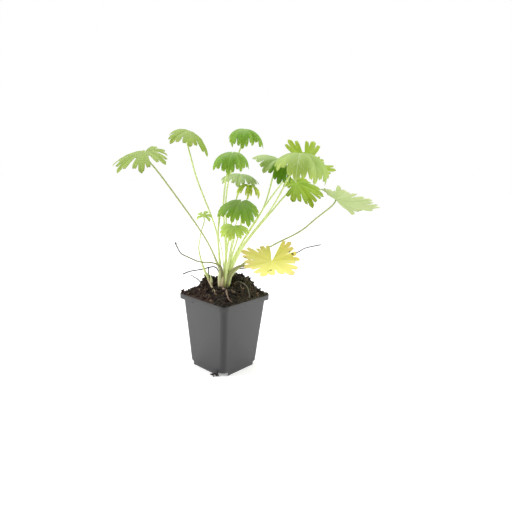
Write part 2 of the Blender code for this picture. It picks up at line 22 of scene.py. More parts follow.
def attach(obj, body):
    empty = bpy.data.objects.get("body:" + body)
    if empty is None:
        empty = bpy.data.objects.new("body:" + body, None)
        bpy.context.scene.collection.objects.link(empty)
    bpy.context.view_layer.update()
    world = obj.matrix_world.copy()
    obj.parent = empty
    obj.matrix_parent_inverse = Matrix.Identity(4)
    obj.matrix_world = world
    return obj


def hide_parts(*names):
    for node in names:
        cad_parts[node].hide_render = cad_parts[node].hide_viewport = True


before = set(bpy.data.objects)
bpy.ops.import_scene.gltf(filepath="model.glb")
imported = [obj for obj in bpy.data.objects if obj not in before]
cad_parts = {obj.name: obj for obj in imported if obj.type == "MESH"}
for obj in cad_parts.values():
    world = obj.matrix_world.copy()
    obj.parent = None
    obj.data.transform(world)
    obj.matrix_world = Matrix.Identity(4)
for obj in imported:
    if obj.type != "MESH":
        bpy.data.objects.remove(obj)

MM = 0.001
noise.seed_set(4)        # without it, vector noise follows the clock and differs in every run
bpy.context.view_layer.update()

# %% [markdown]
# ## Node tools
#
# Every finish below is built from nodes. A few short helpers keep each material readable: one
# makes a node and sets its values, one carries a value from one range to another, one mixes
# two colours, and one opens a node group whose inputs and outputs have names. A group is built
# once and placed in several materials, each time with its own colours. Nodes can also be
# joined by hand in the editor, but written down they can be read and repeated.

# %% Node helpers
def node(tree, kind, **values):
    made = tree.nodes.new("ShaderNode" + kind)
    for key, value in values.items():
        setattr(made, key, value)
    return made


def noise_at(tree, place, scale, detail=3.0, roughness=0.55):
    texture = node(tree, "TexNoise")
    texture.inputs["Scale"].default_value = scale
    texture.inputs["Detail"].default_value = detail
    texture.inputs["Roughness"].default_value = roughness
    tree.links.new(place, texture.inputs["Vector"])
    return texture.outputs["Fac"]


def ramp(tree, value, low, high, start=0.0, end=1.0):
    """Carry a value from low..high to start..end, held at both ends."""
    span = node(tree, "MapRange")
    span.inputs["From Min"].default_value = low
    span.inputs["From Max"].default_value = high
    span.inputs["To Min"].default_value = start
    span.inputs["To Max"].default_value = end
    tree.links.new(value, span.inputs["Value"])
    return span.outputs["Result"]


def feed(tree, source, socket):
    """Join a socket to a source, or give it a plain number or colour."""
    if isinstance(source, bpy.types.NodeSocket):
        tree.links.new(source, socket)
    else:
        socket.default_value = (*source, 1.0) if isinstance(source, tuple) else source


def blend(tree, share, first, second, kind="MIX"):
    mix = node(tree, "Mix", data_type="RGBA", blend_type=kind)
    feed(tree, share, mix.inputs[0])
    feed(tree, first, mix.inputs[6])
    feed(tree, second, mix.inputs[7])
    return mix.outputs[2]


def math_of(tree, kind, first, second):
    sums = node(tree, "Math", operation=kind)
    feed(tree, first, sums.inputs[0])
    feed(tree, second, sums.inputs[1])
    return sums.outputs[0]


def plus(tree, first, second):
    return math_of(tree, "ADD", first, second)


def times(tree, first, second):
    return math_of(tree, "MULTIPLY", first, second)


def attribute(tree, name):
    return node(tree, "Attribute", attribute_name=name).outputs["Fac"]


def new_group(name, inputs, outputs):
    group = bpy.data.node_groups.new(name, "ShaderNodeTree")
    for way, sockets in (("INPUT", inputs), ("OUTPUT", outputs)):
        for label, kind in sockets.items():
            group.interface.new_socket(label, in_out=way, socket_type="NodeSocket" + kind)
    return group, group.nodes.new("NodeGroupInput"), group.nodes.new("NodeGroupOutput")


def use_group(tree, group, **values):
    placed = tree.nodes.new("ShaderNodeGroup")
    placed.node_tree = group
    for key, value in values.items():
        feed(tree, value, placed.inputs[key.replace("_", " ")])
    return placed


def new_finish(name, roughness, specular):
    """A material with its tree, its main shader and its object coordinates."""
    made = bpy.data.materials.new(name)
    made.use_nodes = True
    tree = made.node_tree
    shader = tree.nodes["Principled BSDF"]
    shader.inputs["Roughness"].default_value = roughness
    shader.inputs["Specular IOR Level"].default_value = specular
    place = node(tree, "TexCoord").outputs["Object"]
    return made, tree, shader, place


def add_skin(tree, shader, colour, height, depth_mm, strength):
    """Give a shader its colour, and the small unevenness of its surface."""
    tree.links.new(colour, shader.inputs["Base Color"])
    bump_node = node(tree, "Bump")
    bump_node.inputs["Strength"].default_value = strength
    bump_node.inputs["Distance"].default_value = depth_mm * MM
    tree.links.new(height, bump_node.inputs["Height"])
    tree.links.new(bump_node.outputs["Normal"], shader.inputs["Normal"])


print("node tools ready")

# %% Object helpers
def add_object(name, data):
    made = bpy.data.objects.new(name, data)
    bpy.context.scene.collection.objects.link(made)
    return made


def mesh_object(name, bm):
    mesh = bpy.data.meshes.new(name)
    bm.to_mesh(mesh)
    bm.free()
    return add_object(name, mesh)


print("object tools ready")

# %% [markdown]
# ## The camera
#
# The photo was taken from a little above the rim of the pot, at leaf height, about 57 cm from
# the plant. A camera can be turned by angles, but building its three axes from the pitch and
# the small roll keeps the maths in view: x to the right, y up the picture, z back to the eye.

# %% Camera
EYE = (0.04022, -0.56688, 0.27060)
PITCH_DOWN = 0.2048
ROLL = 0.0338
FOCAL_PIXELS = 437.975
PICTURE_PIXELS = 512
SENSOR_MM = 36.0


def place_camera():
    away = Vector((0, math.cos(PITCH_DOWN), -math.sin(PITCH_DOWN)))
    side = Vector((1, 0, 0))
    up = side.cross(away)
    x = side * math.cos(ROLL) + up * math.sin(ROLL)
    y = up * math.cos(ROLL) - side * math.sin(ROLL)
    turned = Matrix((x, y, -away)).transposed().to_4x4()
    data = bpy.data.cameras.new("camera")
    data.sensor_width = SENSOR_MM
    data.lens = FOCAL_PIXELS / PICTURE_PIXELS * SENSOR_MM
    data.clip_start = 0.01
    camera = add_object("camera", data)
    camera.matrix_world = Matrix.Translation(Vector(EYE)) @ turned
    bpy.context.scene.camera = camera
    return data.lens


print("lens:", round(place_camera(), 2), "mm")

# %% [markdown]
# ## Light and floor
#
# The plant stands in a white studio: soft light from both sides and from above, less from the
# camera's side, and a floor so bright that only a breath of shadow is left under the pot. One
# sky of even light would be simpler, but two large side lights leave the pot's front corner
# darker than its two walls, as in the photo. Painted shade on the pot's rounded corners darkens
# that corner further.

# %% Light
WHITE = (1.0, 1.0, 1.0, 1.0)
FRONT_AIR = 0.15
BACK_AIR = 0.95
SOFT_LIGHTS = {                 # place and aim in metres, width in metres, power in watts
    "light_above": ((-0.2, 0.2, 1.3), (0, 0, 0.15), 0.9, 8.0),
    "light_left": ((-1.1, -0.2, 0.75), (0, 0, 0.12), 0.8, 9.0),
    "light_right": ((1.1, -0.1, 0.65), (0, 0, 0.12), 0.8, 9.0),
}


def soft_light(name, place, aim, width, power):
    data = bpy.data.lights.new(name, "AREA")
    data.shape = "DISK"
    data.size = width
    data.energy = power
    light = add_object(name, data)
    towards = Vector(aim) - Vector(place)
    light.matrix_world = (Matrix.Translation(Vector(place))
                          @ towards.to_track_quat("-Z", "Y").to_matrix().to_4x4())


def light_air():
    """A world that lights less from the front, and that the camera sees as plain white."""
    world = bpy.data.worlds.new("studio")
    bpy.context.scene.world = world
    world.use_nodes = True
    tree = world.node_tree
    air, seen = tree.nodes["Background"], node(tree, "Background")
    for white in (air, seen):
        white.inputs["Color"].default_value = WHITE
    way = node(tree, "SeparateXYZ")
    tree.links.new(node(tree, "TexCoord").outputs["Generated"], way.inputs[0])
    tree.links.new(ramp(tree, way.outputs["Y"], -0.9, 0.3, FRONT_AIR, BACK_AIR),
                   air.inputs["Strength"])
    mix = node(tree, "MixShader")
    tree.links.new(node(tree, "LightPath").outputs["Is Camera Ray"], mix.inputs[0])
    tree.links.new(air.outputs[0], mix.inputs[1])
    tree.links.new(seen.outputs[0], mix.inputs[2])
    tree.links.new(mix.outputs[0], tree.nodes["World Output"].inputs[0])


light_air()
for light_name, light_spec in SOFT_LIGHTS.items():
    soft_light(light_name, *light_spec)
bpy.context.scene.view_settings.view_transform = "Standard"
print("lights:", len(bpy.data.lights))

# %% Floor
FLOOR_SIZE = 6.0
FLOOR_GLOW = 0.36
FLOOR_WHITE = (0.93, 0.93, 0.93, 1.0)


def lay_floor():
    bm = bmesh.new()
    bmesh.ops.create_grid(bm, x_segments=1, y_segments=1, size=FLOOR_SIZE)
    floor = mesh_object("floor", bm)
    paint = bpy.data.materials.new("floor_white")
    paint.use_nodes = True
    shader = paint.node_tree.nodes["Principled BSDF"]
    shader.inputs["Base Color"].default_value = FLOOR_WHITE
    shader.inputs["Roughness"].default_value = 0.9
    shader.inputs["Specular IOR Level"].default_value = 0.1
    shader.inputs["Emission Color"].default_value = WHITE
    shader.inputs["Emission Strength"].default_value = FLOOR_GLOW
    floor.data.materials.append(paint)
    print("floor laid")


lay_floor()

# %% [markdown]
# ## Leaf finish
#
# A leaf's skin is soft and slightly uneven. The veins are paler than the blade, the rim of each
# tooth is a little yellower, and no two lobes have quite the same green. Painted shade darkens
# the folds between two lobes, and a painted sheen makes the parts that face the sky paler, as if
# lit from above. Light also comes through a thin leaf, so its shader is a mix: most of it
# reflects, and some lets the light through from behind. A picture could be painted for each
# leaf. Here the mesh stores a few numbers at every point instead, such as vein, edge, fold, top
# and tone, and one group turns them into colour, so that the deep, the fresh, the pale and the
# yellow leaves are one finish with other colours. The lobes that hang in another leaf's shade
# are darker by a stored number too. The yellow leaf has brown spots, each a place and a size,
# with a rim made ragged by noise.

# %% Leaf pattern group
def make_leaf_pattern():
    group, entry, leave = new_group(
        "leaf_pattern",
        {"Place": "Vector", "Heart": "Color", "Blade": "Color", "Vein Colour": "Color",
         "Rim": "Color", "Bloom": "Color", "Vein": "Float", "Edge": "Float", "Top": "Float",
         "Fold": "Float", "Tone": "Float"},
        {"Colour": "Color", "Height": "Float", "Roughness": "Float"})
    given = entry.outputs
    place, edge = given["Place"], given["Edge"]
    cloud = ramp(group, noise_at(group, place, 70.0, 3.0), 0.35, 0.65, -0.12, 0.12)
    cloud = plus(group, cloud, given["Tone"])
    reach = plus(group, ramp(group, edge, 0.05, 0.75), cloud)
    skin = blend(group, reach, given["Heart"], given["Blade"])
    outer = plus(group, ramp(group, edge, 0.72, 1.0, 0.0, 0.8), cloud)
    skin = blend(group, outer, skin, given["Rim"])
    grain = noise_at(group, place, 700.0, 2.0)
    skin = blend(group, ramp(group, grain, 0.3, 0.7, 0.0, 0.05), skin, given["Rim"])
    # painted shade: the folds between lobes are mixed towards the dark heart colour
    skin = blend(group, given["Fold"], skin, given["Heart"])
    # painted sheen: the parts that face the sky are mixed towards a pale colour, as if lit from
    # above
    top = ramp(group, given["Top"], 0.45, 1.0, 0.0, 0.5)
    skin = blend(group, top, skin, given["Bloom"])
    vein = ramp(group, given["Vein"], 0.1, 0.9, 0.0, 0.75)
    skin = blend(group, vein, skin, given["Vein Colour"])
    bulge = ramp(group, noise_at(group, place, 380.0, 2.0), 0.25, 0.75)
    height = math_of(group, "SUBTRACT", bulge, times(group, vein, 0.6))
    group.links.new(skin, leave.inputs["Colour"])
    group.links.new(height, leave.inputs["Height"])
    group.links.new(ramp(group, grain, 0.3, 0.7, 0.50, 0.62), leave.inputs["Roughness"])
    return group


LEAF_PATTERN = make_leaf_pattern()
print("group:", LEAF_PATTERN.name)


# %% Leaf finishes
SHADED_GREEN = (0.13, 0.29, 0.006)
SPOT_BROWN = (0.09, 0.05, 0.03)
SPOT_RAGGED = 0.4
YELLOW_SPOTS = ((44.5, -10.9, 167.1, 1.7), (36.0, -17.6, 165.4, 1.0), (27.4, -35.0, 157.2, 1.5),
                (58.4, -57.1, 147.8, 1.9), (55.5, -58.5, 147.0, 1.2), (85.4, -33.6, 163.9, 1.8),
                (81.8, -29.6, 165.8, 1.2))


def spot_mask(tree, place, spots):
    """One wherever a place lies within one of the spots, with an uneven edge."""
    ragged = ramp(tree, noise_at(tree, place, 900.0, 2.0), 0.3, 0.7, -SPOT_RAGGED,
                  SPOT_RAGGED)
    mask = None
    for x, y, z, size in spots:
        away = node(tree, "VectorMath", operation="DISTANCE")
        tree.links.new(place, away.inputs[0])
        away.inputs[1].default_value = (x * MM, y * MM, z * MM)
        near = ramp(tree, away.outputs["Value"], 0.5 * size * MM, 1.2 * size * MM, 1.0, 0.0)
        mask = near if mask is None else math_of(tree, "MAXIMUM", mask, near)
    return ramp(tree, plus(tree, mask, ragged), 0.35, 0.65)


def leaf_finish(name, heart, blade, rim, vein, top_sheen, through, share=0.3, spots=()):
    made, tree, shader, place = new_finish(name, 0.55, 0.35)
    marks = {mark.title(): attribute(tree, mark) for mark in ("vein", "edge", "top", "fold", "tone")}
    skin = use_group(tree, LEAF_PATTERN, Place=place, Heart=heart, Blade=blade, Rim=rim,
                     Vein_Colour=vein, Bloom=top_sheen, **marks)
    colour = blend(tree, attribute(tree, "shaded"), skin.outputs["Colour"], SHADED_GREEN)
    if spots:
        colour = blend(tree, spot_mask(tree, place, spots), colour, SPOT_BROWN)
    tree.links.new(skin.outputs["Roughness"], shader.inputs["Roughness"])
    add_skin(tree, shader, colour, skin.outputs["Height"], 0.15, 0.5)
    glow = node(tree, "BsdfTranslucent")
    tree.links.new(blend(tree, 0.55, colour, through), glow.inputs["Color"])
    mix = node(tree, "MixShader")
    mix.inputs[0].default_value = share
    tree.links.new(shader.outputs[0], mix.inputs[1])
    tree.links.new(glow.outputs[0], mix.inputs[2])
    tree.links.new(mix.outputs[0], tree.nodes["Material Output"].inputs[0])
    return made


LEAF_COLOURS = {                # heart, blade, rim, vein, painted sheen on parts facing the sky, light through, its share, spots
    "fresh": ((0.20, 0.32, 0.02), (0.28, 0.41, 0.035), (0.38, 0.47, 0.06),
              (0.44, 0.55, 0.14), (0.50, 0.59, 0.26), (0.46, 0.58, 0.015)),
    "soft": ((0.21, 0.37, 0.05), (0.35, 0.50, 0.12), (0.46, 0.58, 0.13),
             (0.58, 0.70, 0.28), (0.62, 0.71, 0.43), (0.40, 0.62, 0.03)),
    "deep": ((0.14, 0.32, 0.018), (0.20, 0.39, 0.025), (0.34, 0.49, 0.035),
             (0.40, 0.59, 0.11), (0.40, 0.54, 0.19), (0.30, 0.58, 0.01)),
    "streaked": ((0.28, 0.44, 0.06), (0.37, 0.52, 0.10), (0.48, 0.59, 0.12),
                 (0.76, 0.83, 0.50), (0.50, 0.61, 0.26), (0.42, 0.60, 0.04)),
    "grass": ((0.20, 0.37, 0.008), (0.29, 0.44, 0.012), (0.42, 0.51, 0.03),
              (0.48, 0.61, 0.08), (0.42, 0.54, 0.10), (0.42, 0.64, 0.005)),
    "bright": ((0.26, 0.42, 0.01), (0.33, 0.47, 0.02), (0.44, 0.54, 0.04),
               (0.50, 0.62, 0.10), (0.44, 0.55, 0.12), (0.48, 0.66, 0.01)),
    "light": ((0.42, 0.66, 0.045), (0.58, 0.77, 0.10), (0.66, 0.77, 0.16),
              (0.72, 0.84, 0.30), (0.66, 0.77, 0.36), (0.55, 0.74, 0.05)),
    "young": ((0.74, 0.84, 0.07), (0.78, 0.86, 0.14), (0.80, 0.84, 0.30),
              (0.84, 0.90, 0.40), (0.76, 0.84, 0.46), (0.95, 1.0, 0.08), 0.5),
    "pale": ((0.38, 0.50, 0.15), (0.48, 0.58, 0.22), (0.58, 0.64, 0.29),
             (0.66, 0.73, 0.42), (0.58, 0.65, 0.36), (0.56, 0.70, 0.15)),
    "yellow": ((0.88, 0.88, 0.13), (0.92, 0.89, 0.20), (0.95, 0.70, 0.30),
               (0.90, 0.91, 0.28), (0.94, 0.92, 0.42), (0.98, 0.92, 0.15), 0.25, YELLOW_SPOTS),
    "underside": ((0.30, 0.43, 0.14), (0.36, 0.47, 0.18), (0.42, 0.51, 0.20),
                  (0.56, 0.65, 0.34), (0.42, 0.51, 0.22), (0.45, 0.66, 0.05)),
    "yellow_underside": ((0.84, 0.78, 0.26), (0.87, 0.81, 0.32), (0.88, 0.70, 0.34),
                         (0.82, 0.80, 0.36), (0.88, 0.82, 0.36), (0.95, 0.85, 0.15), 0.25),
}
LEAF_FINISHES = {name: leaf_finish("leaf_" + name, *colours)
                 for name, colours in LEAF_COLOURS.items()}
print("leaf finishes:", len(LEAF_FINISHES))

# %% [markdown]
# ## Stalk and dry stem finish
#
# A leaf stalk is pale and juicy near the ground and greener towards its blade, with a fine
# streaky skin. A dried stem is brown to grey, and one of them is still green at its foot. One
# colour for each would look like wire, so the finish goes through three colours, from foot to
# tip. It reads one number, how far along the stem a point lies, stored when the mesh is made.

# %% Stem finishes
def stem_finish(name, foot, middle, tip, roughness=0.5, rough_mm=0.12):
    made, tree, shader, place = new_finish(name, roughness, 0.4)
    along = attribute(tree, "along")
    colour = blend(tree, ramp(tree, along, 0.0, 0.55), foot, middle)
    colour = blend(tree, ramp(tree, along, 0.45, 1.0), colour, tip)
    streak = noise_at(tree, place, 700.0, 2.0)
    colour = blend(tree, ramp(tree, streak, 0.35, 0.75, 0.0, 0.35), colour, middle, "MULTIPLY")
    add_skin(tree, shader, colour, streak, rough_mm, 0.6)
    return made


STEM_COLOURS = {                # foot, middle, tip, roughness, depth of the streaks
    "stalk_green": ((0.76, 0.86, 0.36), (0.70, 0.79, 0.36), (0.52, 0.63, 0.20)),
    "stalk_olive": ((0.62, 0.68, 0.36), (0.44, 0.49, 0.21), (0.38, 0.45, 0.16)),
    "shoot_pale": ((0.62, 0.54, 0.30), (0.80, 0.78, 0.50), (0.70, 0.78, 0.38), 0.6, 0.3),
    "papery_scale": ((0.40, 0.26, 0.18), (0.62, 0.54, 0.32), (0.70, 0.66, 0.40), 0.65, 0.3),
    "dry_base": ((0.14, 0.09, 0.05), (0.36, 0.37, 0.15), (0.05, 0.045, 0.035), 0.65, 0.2),
    "dry_olive": ((0.45, 0.48, 0.20), (0.24, 0.23, 0.08), (0.16, 0.16, 0.06), 0.65, 0.2),
    "dry_dark": ((0.10, 0.07, 0.05), (0.08, 0.065, 0.07), (0.05, 0.04, 0.045), 0.7, 0.25),
    "dry_grey": ((0.10, 0.07, 0.06), (0.12, 0.10, 0.12), (0.13, 0.11, 0.13), 0.7, 0.2),
    "root_tan": ((0.30, 0.18, 0.10), (0.36, 0.24, 0.14), (0.22, 0.14, 0.08), 0.75, 0.3),
    "root_pale": ((0.42, 0.34, 0.20), (0.52, 0.44, 0.28), (0.36, 0.28, 0.18), 0.75, 0.35),
    "root_grey": ((0.16, 0.15, 0.10), (0.20, 0.19, 0.13), (0.14, 0.13, 0.09), 0.75, 0.3),
    "root_pink": ((0.36, 0.27, 0.21), (0.25, 0.165, 0.125), (0.17, 0.10, 0.07), 0.7, 0.3),
}
STEM_FINISHES = {name: stem_finish(name, *colours) for name, colours in STEM_COLOURS.items()}
print("stem finishes:", len(STEM_FINISHES))

# %% [markdown]
# ## Routes and stems
#
# A stem is a circle carried along a route. The route is a smooth curve through a handful of
# points, and the circle is extruded from one point to the next, turned each time to face along
# the way, so that the tube never twists. A cone or a straight cylinder would be quicker, but
# every stalk here bends.

# %% Smooth route
def extrude_loop(bm, edges):
    """Extrude a loop of edges in place, and return its new points and its new edges."""
    grown = bmesh.ops.extrude_edge_only(bm, edges=edges)["geom"]
    return ([g for g in grown if isinstance(g, bmesh.types.BMVert)],
            [g for g in grown if isinstance(g, bmesh.types.BMEdge)])


def smooth_route(points, step):
    """Points about a step apart along one smooth curve through a route, and their shares."""
    knots = [Vector(p) for p in points]
    knots = [2 * knots[0] - knots[1]] + knots + [2 * knots[-1] - knots[-2]]
    route = []
    shares = []
    for i in range(1, len(knots) - 2):
        before, here, there, after = knots[i - 1:i + 3]
        parts = max(1, round((there - here).length / step))
        for k in range(parts):
            t = k / parts
            route.append(0.5 * (2 * here + (there - before) * t
                                + (2 * before - 5 * here + 4 * there - after) * t * t
                                + (3 * here - before - 3 * there + after) * t ** 3))
            shares.append((i - 1 + t) / (len(knots) - 3))
    return route + [knots[-2]], shares + [1.0]


def radius_at(radii, share):
    place = share * (len(radii) - 1)
    i = min(int(place), len(radii) - 2)
    return radii[i] + (radii[i + 1] - radii[i]) * (place - i)


# %% Stem along a route
def ring_frames(route):
    """One frame for each point of a route, each turned as little as possible from the last."""
    frames = []
    turn = (route[1] - route[0]).to_track_quat("Z", "Y")
    for k, point in enumerate(route):
        ahead = route[min(k + 1, len(route) - 1)] - route[max(k - 1, 0)]
        now = turn @ Vector((0, 0, 1))
        turn = now.rotation_difference(ahead.normalized()) @ turn
        frames.append(Matrix.Translation(point * MM) @ turn.to_matrix().to_4x4())
    return frames


def grow_stem(bm, route, radii, sides=12, slot=0):
    """Extrude a closed round stem along a route, and store how far along it each point is."""
    layer = bm.verts.layers.float.get("along") or bm.verts.layers.float.new("along")
    frames = ring_frames(route)
    old_faces = set(bm.faces)
    first = bmesh.ops.create_circle(bm, cap_ends=False, segments=sides, radius=radii[0] * MM,
                                    matrix=frames[0])["verts"]
    edges = list({e for v in first for e in v.link_edges})
    closing = [list(edges)]
    for k in range(1, len(frames)):
        verts, edges = extrude_loop(bm, edges)
        size = Matrix.Scale(radii[k] / radii[k - 1], 4)
        bmesh.ops.transform(bm, matrix=frames[k] @ size @ frames[k - 1].inverted(), verts=verts)
        for v in verts:
            v[layer] = k / (len(frames) - 1)
    closing.append(list(edges))
    for loop in closing:
        bmesh.ops.contextual_create(bm, geom=loop)
    made = [f for f in bm.faces if f not in old_faces]
    bmesh.ops.recalc_face_normals(bm, faces=made)
    for f in made:
        f.smooth = True
        f.material_index = slot


def finish_piece(name, bm, finishes, node_name):
    """Turn a bmesh into a piece that rides on the plant and stands for a CAD node."""
    piece = mesh_object(name, bm)
    for finish in finishes:
        piece.data.materials.append(finish)
    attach(piece, "root")
    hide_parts(node_name)
    return piece


print("stem tools ready")

# %% [markdown]
# ## The form of a blade
#
# Seen flat, a blade is five or seven lobes round the hub, 47 degrees apart. Each lobe has one
# middle and two side divisions, and every division has small rounded teeth with sharp cuts
# between them. Old leaves are cut less deep than young ones, so each leaf says how far from
# the hub its cuts begin, and how wide a lobe is. The flat form is then bent: each lobe follows
# an arc that starts a little upwards and curls down, like the cloth of an umbrella, and the
# blade rises slightly from each midrib to the cut beside it. An outline could be drawn for
# each leaf, but one formula for a point of the flat leaf gives all of this, so the blade can
# start as a plain grid, with one direction for the angle and one for the reach.

# %% Blade form
LOBE_ANGLE = 47.0
LOBE_SHARE = (1.0, 0.97, 0.88, 0.70)
MIDDLE_TOOTH = (0.0, 0.37, 1.0)
SIDE_TOOTH = (0.635, 0.325, 0.80)
FINE_TOOTH = 0.07
FINE_TOOTH_PITCH = 0.25
PLEAT = 0.10
RISE = 6.0
NARROW_CUT = 6


def bump(t, at, half, high):
    """A blunt division of a given height on the lobe's edge."""
    off = abs(t - at) / half
    return high * math.sqrt(1.0 - off ** 3) if off < 1.0 else 0.0


def lobe_edge(t, cut):
    """How far a lobe's edge reaches, as a share of its length, at t = -1..1 across it."""
    a = abs(t)
    body = max(bump(a, *MIDDLE_TOOTH), bump(a, *SIDE_TOOTH))
    if body > 0.3:
        body -= FINE_TOOTH * (1.0 - abs(math.cos(math.pi * a / FINE_TOOTH_PITCH)))
    return cut + (1.0 - cut) * max(0.0, body)


def ease(x):
    return x * x * (3.0 - 2.0 * x)


class Blade:
    """The form of one leaf's blade, flat first and then bent down over its stalk."""

    def __init__(self, spec):
        self.reach = spec["reach"]
        self.droop = spec["droop"]
        self.count = spec.get("count", 7)
        self.middle = self.count // 2
        self.half_span = self.count * LOBE_ANGLE / 2
        self.own = spec["lobes"]
        self.cut = spec["cut"]
        self.width = spec.get("width", 1.0)
        self.seed = sum(spec["hub"])

    def lobe(self, i):
        i = max(-self.middle, min(self.middle, i))
        share, extra = self.own.get(i, (1.0, 0.0))
        return self.reach * LOBE_SHARE[abs(i)] * share, self.droop + extra

    def at(self, angle):
        i = max(-self.middle, min(self.middle, round(angle / LOBE_ANGLE)))
        return i, (angle - i * LOBE_ANGLE) / (LOBE_ANGLE / 2)

    def shared(self, i, t):
        length, droop = self.lobe(i)
        next_length, next_droop = self.lobe(i + (1 if t > 0 else -1))
        part = ease(min(1.0, abs(t))) / 2
        return length + (next_length - length) * part, droop + (next_droop - droop) * part

    def edge(self, angle):
        i, t = self.at(angle)
        a = min(1.0, abs(t))
        own, _ = self.lobe(i)
        mixed, _ = self.shared(i, t)
        reach = own * (1.0 - a ** NARROW_CUT) + mixed * a ** NARROW_CUT
        return lobe_edge(t / self.width, self.cut) * reach

    def bend(self, angle, r):
        """A point at an angle and a flat distance from the hub, carried onto the bent blade."""
        i, t = self.at(angle)
        length, droop = self.shared(i, t)
        curl = math.radians(droop) / length
        start = -math.radians(RISE)
        end = start + curl * r
        if abs(curl) < 1e-6:
            out, down = r * math.cos(start), r * math.sin(start)
        else:
            out = (math.sin(end) - math.sin(start)) / curl
            down = (math.cos(start) - math.cos(end)) / curl
        a = min(1.0, abs(t))
        up = PLEAT * r * a * (1.0 - 0.35 * a) - down
        turn = math.radians(angle)
        return Vector((out * math.cos(turn), out * math.sin(turn), up))


print("blade form ready; a lobe's tip and cut:", lobe_edge(0.0, 0.5), lobe_edge(1.0, 0.5))

# %% [markdown]
# ### Veins and quilting
#
# From the hub one main vein runs out along each lobe, and from each main vein side veins
# branch to the side divisions. Between the veins the blade puffs up a little. Both are worked
# out from the same two numbers, the place across the lobe and the reach along it, and moved
# into the mesh itself, so that they show in the blade's shade and outline.

# %% Veins
MAIN_VEIN = 0.55
SIDE_VEIN = 0.40
SIDE_VEIN_STARTS = (0.30, 0.52)
SIDE_VEIN_SLOPE = 1.5
SIDE_VEIN_STRENGTH = 0.7
SIDE_VEIN_BLUR = 2.2
HUB_RADIUS = 2.2
PUFF = 0.35
RIPPLE = 0.5
RIPPLE_SIZE = 5.0


def vein_at(t, share, r):
    """How strongly a vein shows at a place on a lobe, from 0 to 1."""
    across = abs(t) * math.radians(LOBE_ANGLE / 2) * r
    strong = max(0.0, 1.0 - across / (MAIN_VEIN * (1.25 - share)))
    for start in SIDE_VEIN_STARTS:
        off = abs((share - start) - abs(t) * SIDE_VEIN_SLOPE * (1.15 - share) * 0.55)
        near = max(0.0, 1.0 - off * r / SIDE_VEIN / SIDE_VEIN_BLUR)
        strong = max(strong, SIDE_VEIN_STRENGTH * near * (1.0 if share > start else 0.0))
    return max(strong, 1.0 - r / HUB_RADIUS)


def relief_at(t, share, vein, seed, place):
    """How far the blade's surface stands above its plain form, in millimetres."""
    quilt = PUFF * (1.0 - vein) * min(1.0, share * 2.5) * (0.4 + 0.6 * abs(math.sin(3.1 * t)))
    wave = RIPPLE * share ** 3 * noise.noise(Vector((place.x, place.y, seed)) / RIPPLE_SIZE)
    return quilt + wave


# %% Blade mesh
COLUMNS_PER_LOBE = 54
RINGS = 13
BLADE_THICKNESS = 0.4
TOP_SMOOTHING = 6
WELD = 0.005
# how strongly painted shade darkens the folds between lobes
FOLD_SHADE = 0.45
TONE = 0.7
SHADE_RUN = 8.0                 # degrees over which a shaded lobe turns dark
BLADE_MARKS = ("vein", "edge", "fold", "tone", "shaded")


def grow_blade(spec):
    """A blade's upper face as a grid, wrapped round the hub, bent and shaped."""
    blade = Blade(spec)
    bm = bmesh.new()
    bmesh.ops.create_grid(bm, x_segments=blade.count * COLUMNS_PER_LOBE, y_segments=RINGS,
                          size=1.0)
    layers = {mark: bm.verts.layers.float.new(mark) for mark in BLADE_MARKS}
    bmesh.ops.recalc_face_normals(bm, faces=bm.faces)
    for v in bm.verts:
        angle = -v.co.x * blade.half_span
        across, out = math.cos(math.radians(angle)), math.sin(math.radians(angle))
        share = (v.co.y + 1.0) / 2
        r = share * blade.edge(angle)
        i, t = blade.at(angle)
        along = r / blade.lobe(i)[0]
        vein = vein_at(t, along, r)
        place = blade.bend(angle, r)
        place.z += relief_at(t, along, vein, blade.seed, Vector((r * across, r * out)))
        v.co = place * MM
        v[layers["vein"]] = vein
        v[layers["edge"]] = share
        # painted shade in the folds, strongest towards the cuts between lobes
        v[layers["fold"]] = FOLD_SHADE * min(1.0, abs(t)) ** 2 * min(1.0, 2.0 * share)
        spot = 1.4 * Vector((across, out, 0.0)) + Vector((0, 0, blade.seed))
        v[layers["tone"]] = TONE * share * noise.noise(spot)
        if "shaded_from" in spec:
            far = min(1.0, max(0.0, (angle - spec["shaded_from"]) / SHADE_RUN))
            v[layers["shaded"]] = ease(far) * min(1.0, max(0.0, 6.0 * share - 1.5))
    bmesh.ops.remove_doubles(bm, verts=bm.verts, dist=WELD * MM)
    bmesh.ops.recalc_face_normals(bm, faces=bm.faces)
    if sum(f.normal.z * f.calc_area() for f in bm.faces) < 0:
        bmesh.ops.reverse_faces(bm, faces=bm.faces)
    for f in bm.faces:
        f.smooth = True
    return bm


def mark_top(bm):
    """Store how far each point of a placed blade faces the sky, which sets its painted sheen."""
    layer = bm.verts.layers.float.new("top")
    bm.normal_update()
    facing = {v: v.normal.z for v in bm.verts}
    for _ in range(TOP_SMOOTHING):
        facing = {v: (facing[v] + sum(facing[e.other_vert(v)] for e in v.link_edges))
                  / (1 + len(v.link_edges)) for v in bm.verts}
    for v in bm.verts:
        v[layer] = facing[v]


def leaf_frame(spec):
    """Where a blade stands: its face leans one way and its middle lobe points another."""
    toward, tilt = (math.radians(v) for v in spec["lean"])
    axis = Vector((-math.sin(toward), math.cos(toward), 0.0))
    turn = Matrix.Rotation(math.radians(spec["points"]), 4, "Z")
    return Matrix.Translation(Vector(spec["hub"]) * MM) @ Matrix.Rotation(tilt, 4, axis) @ turn


print("blade grid:", 7 * COLUMNS_PER_LOBE, "x", RINGS)

# %% [markdown]
# ## The leaves
#
# Fifteen leaves, each with its own place, lean, length and droop. One leaf could be copied and
# turned fourteen times, but no two look alike in the photo, so each has its own numbers. They
# say where stalk and blade meet, which way the face leans and how far, the way the middle lobe
# points, the length of that lobe, how far a lobe turns down, how far from the hub the cuts
# begin, how wide a lobe is, each lobe's own share of the length with its own extra droop, where
# the stalk leaves the crown, and the points that it passes. The right front leaf also says from
# which angle on its lobes hang in the shade.

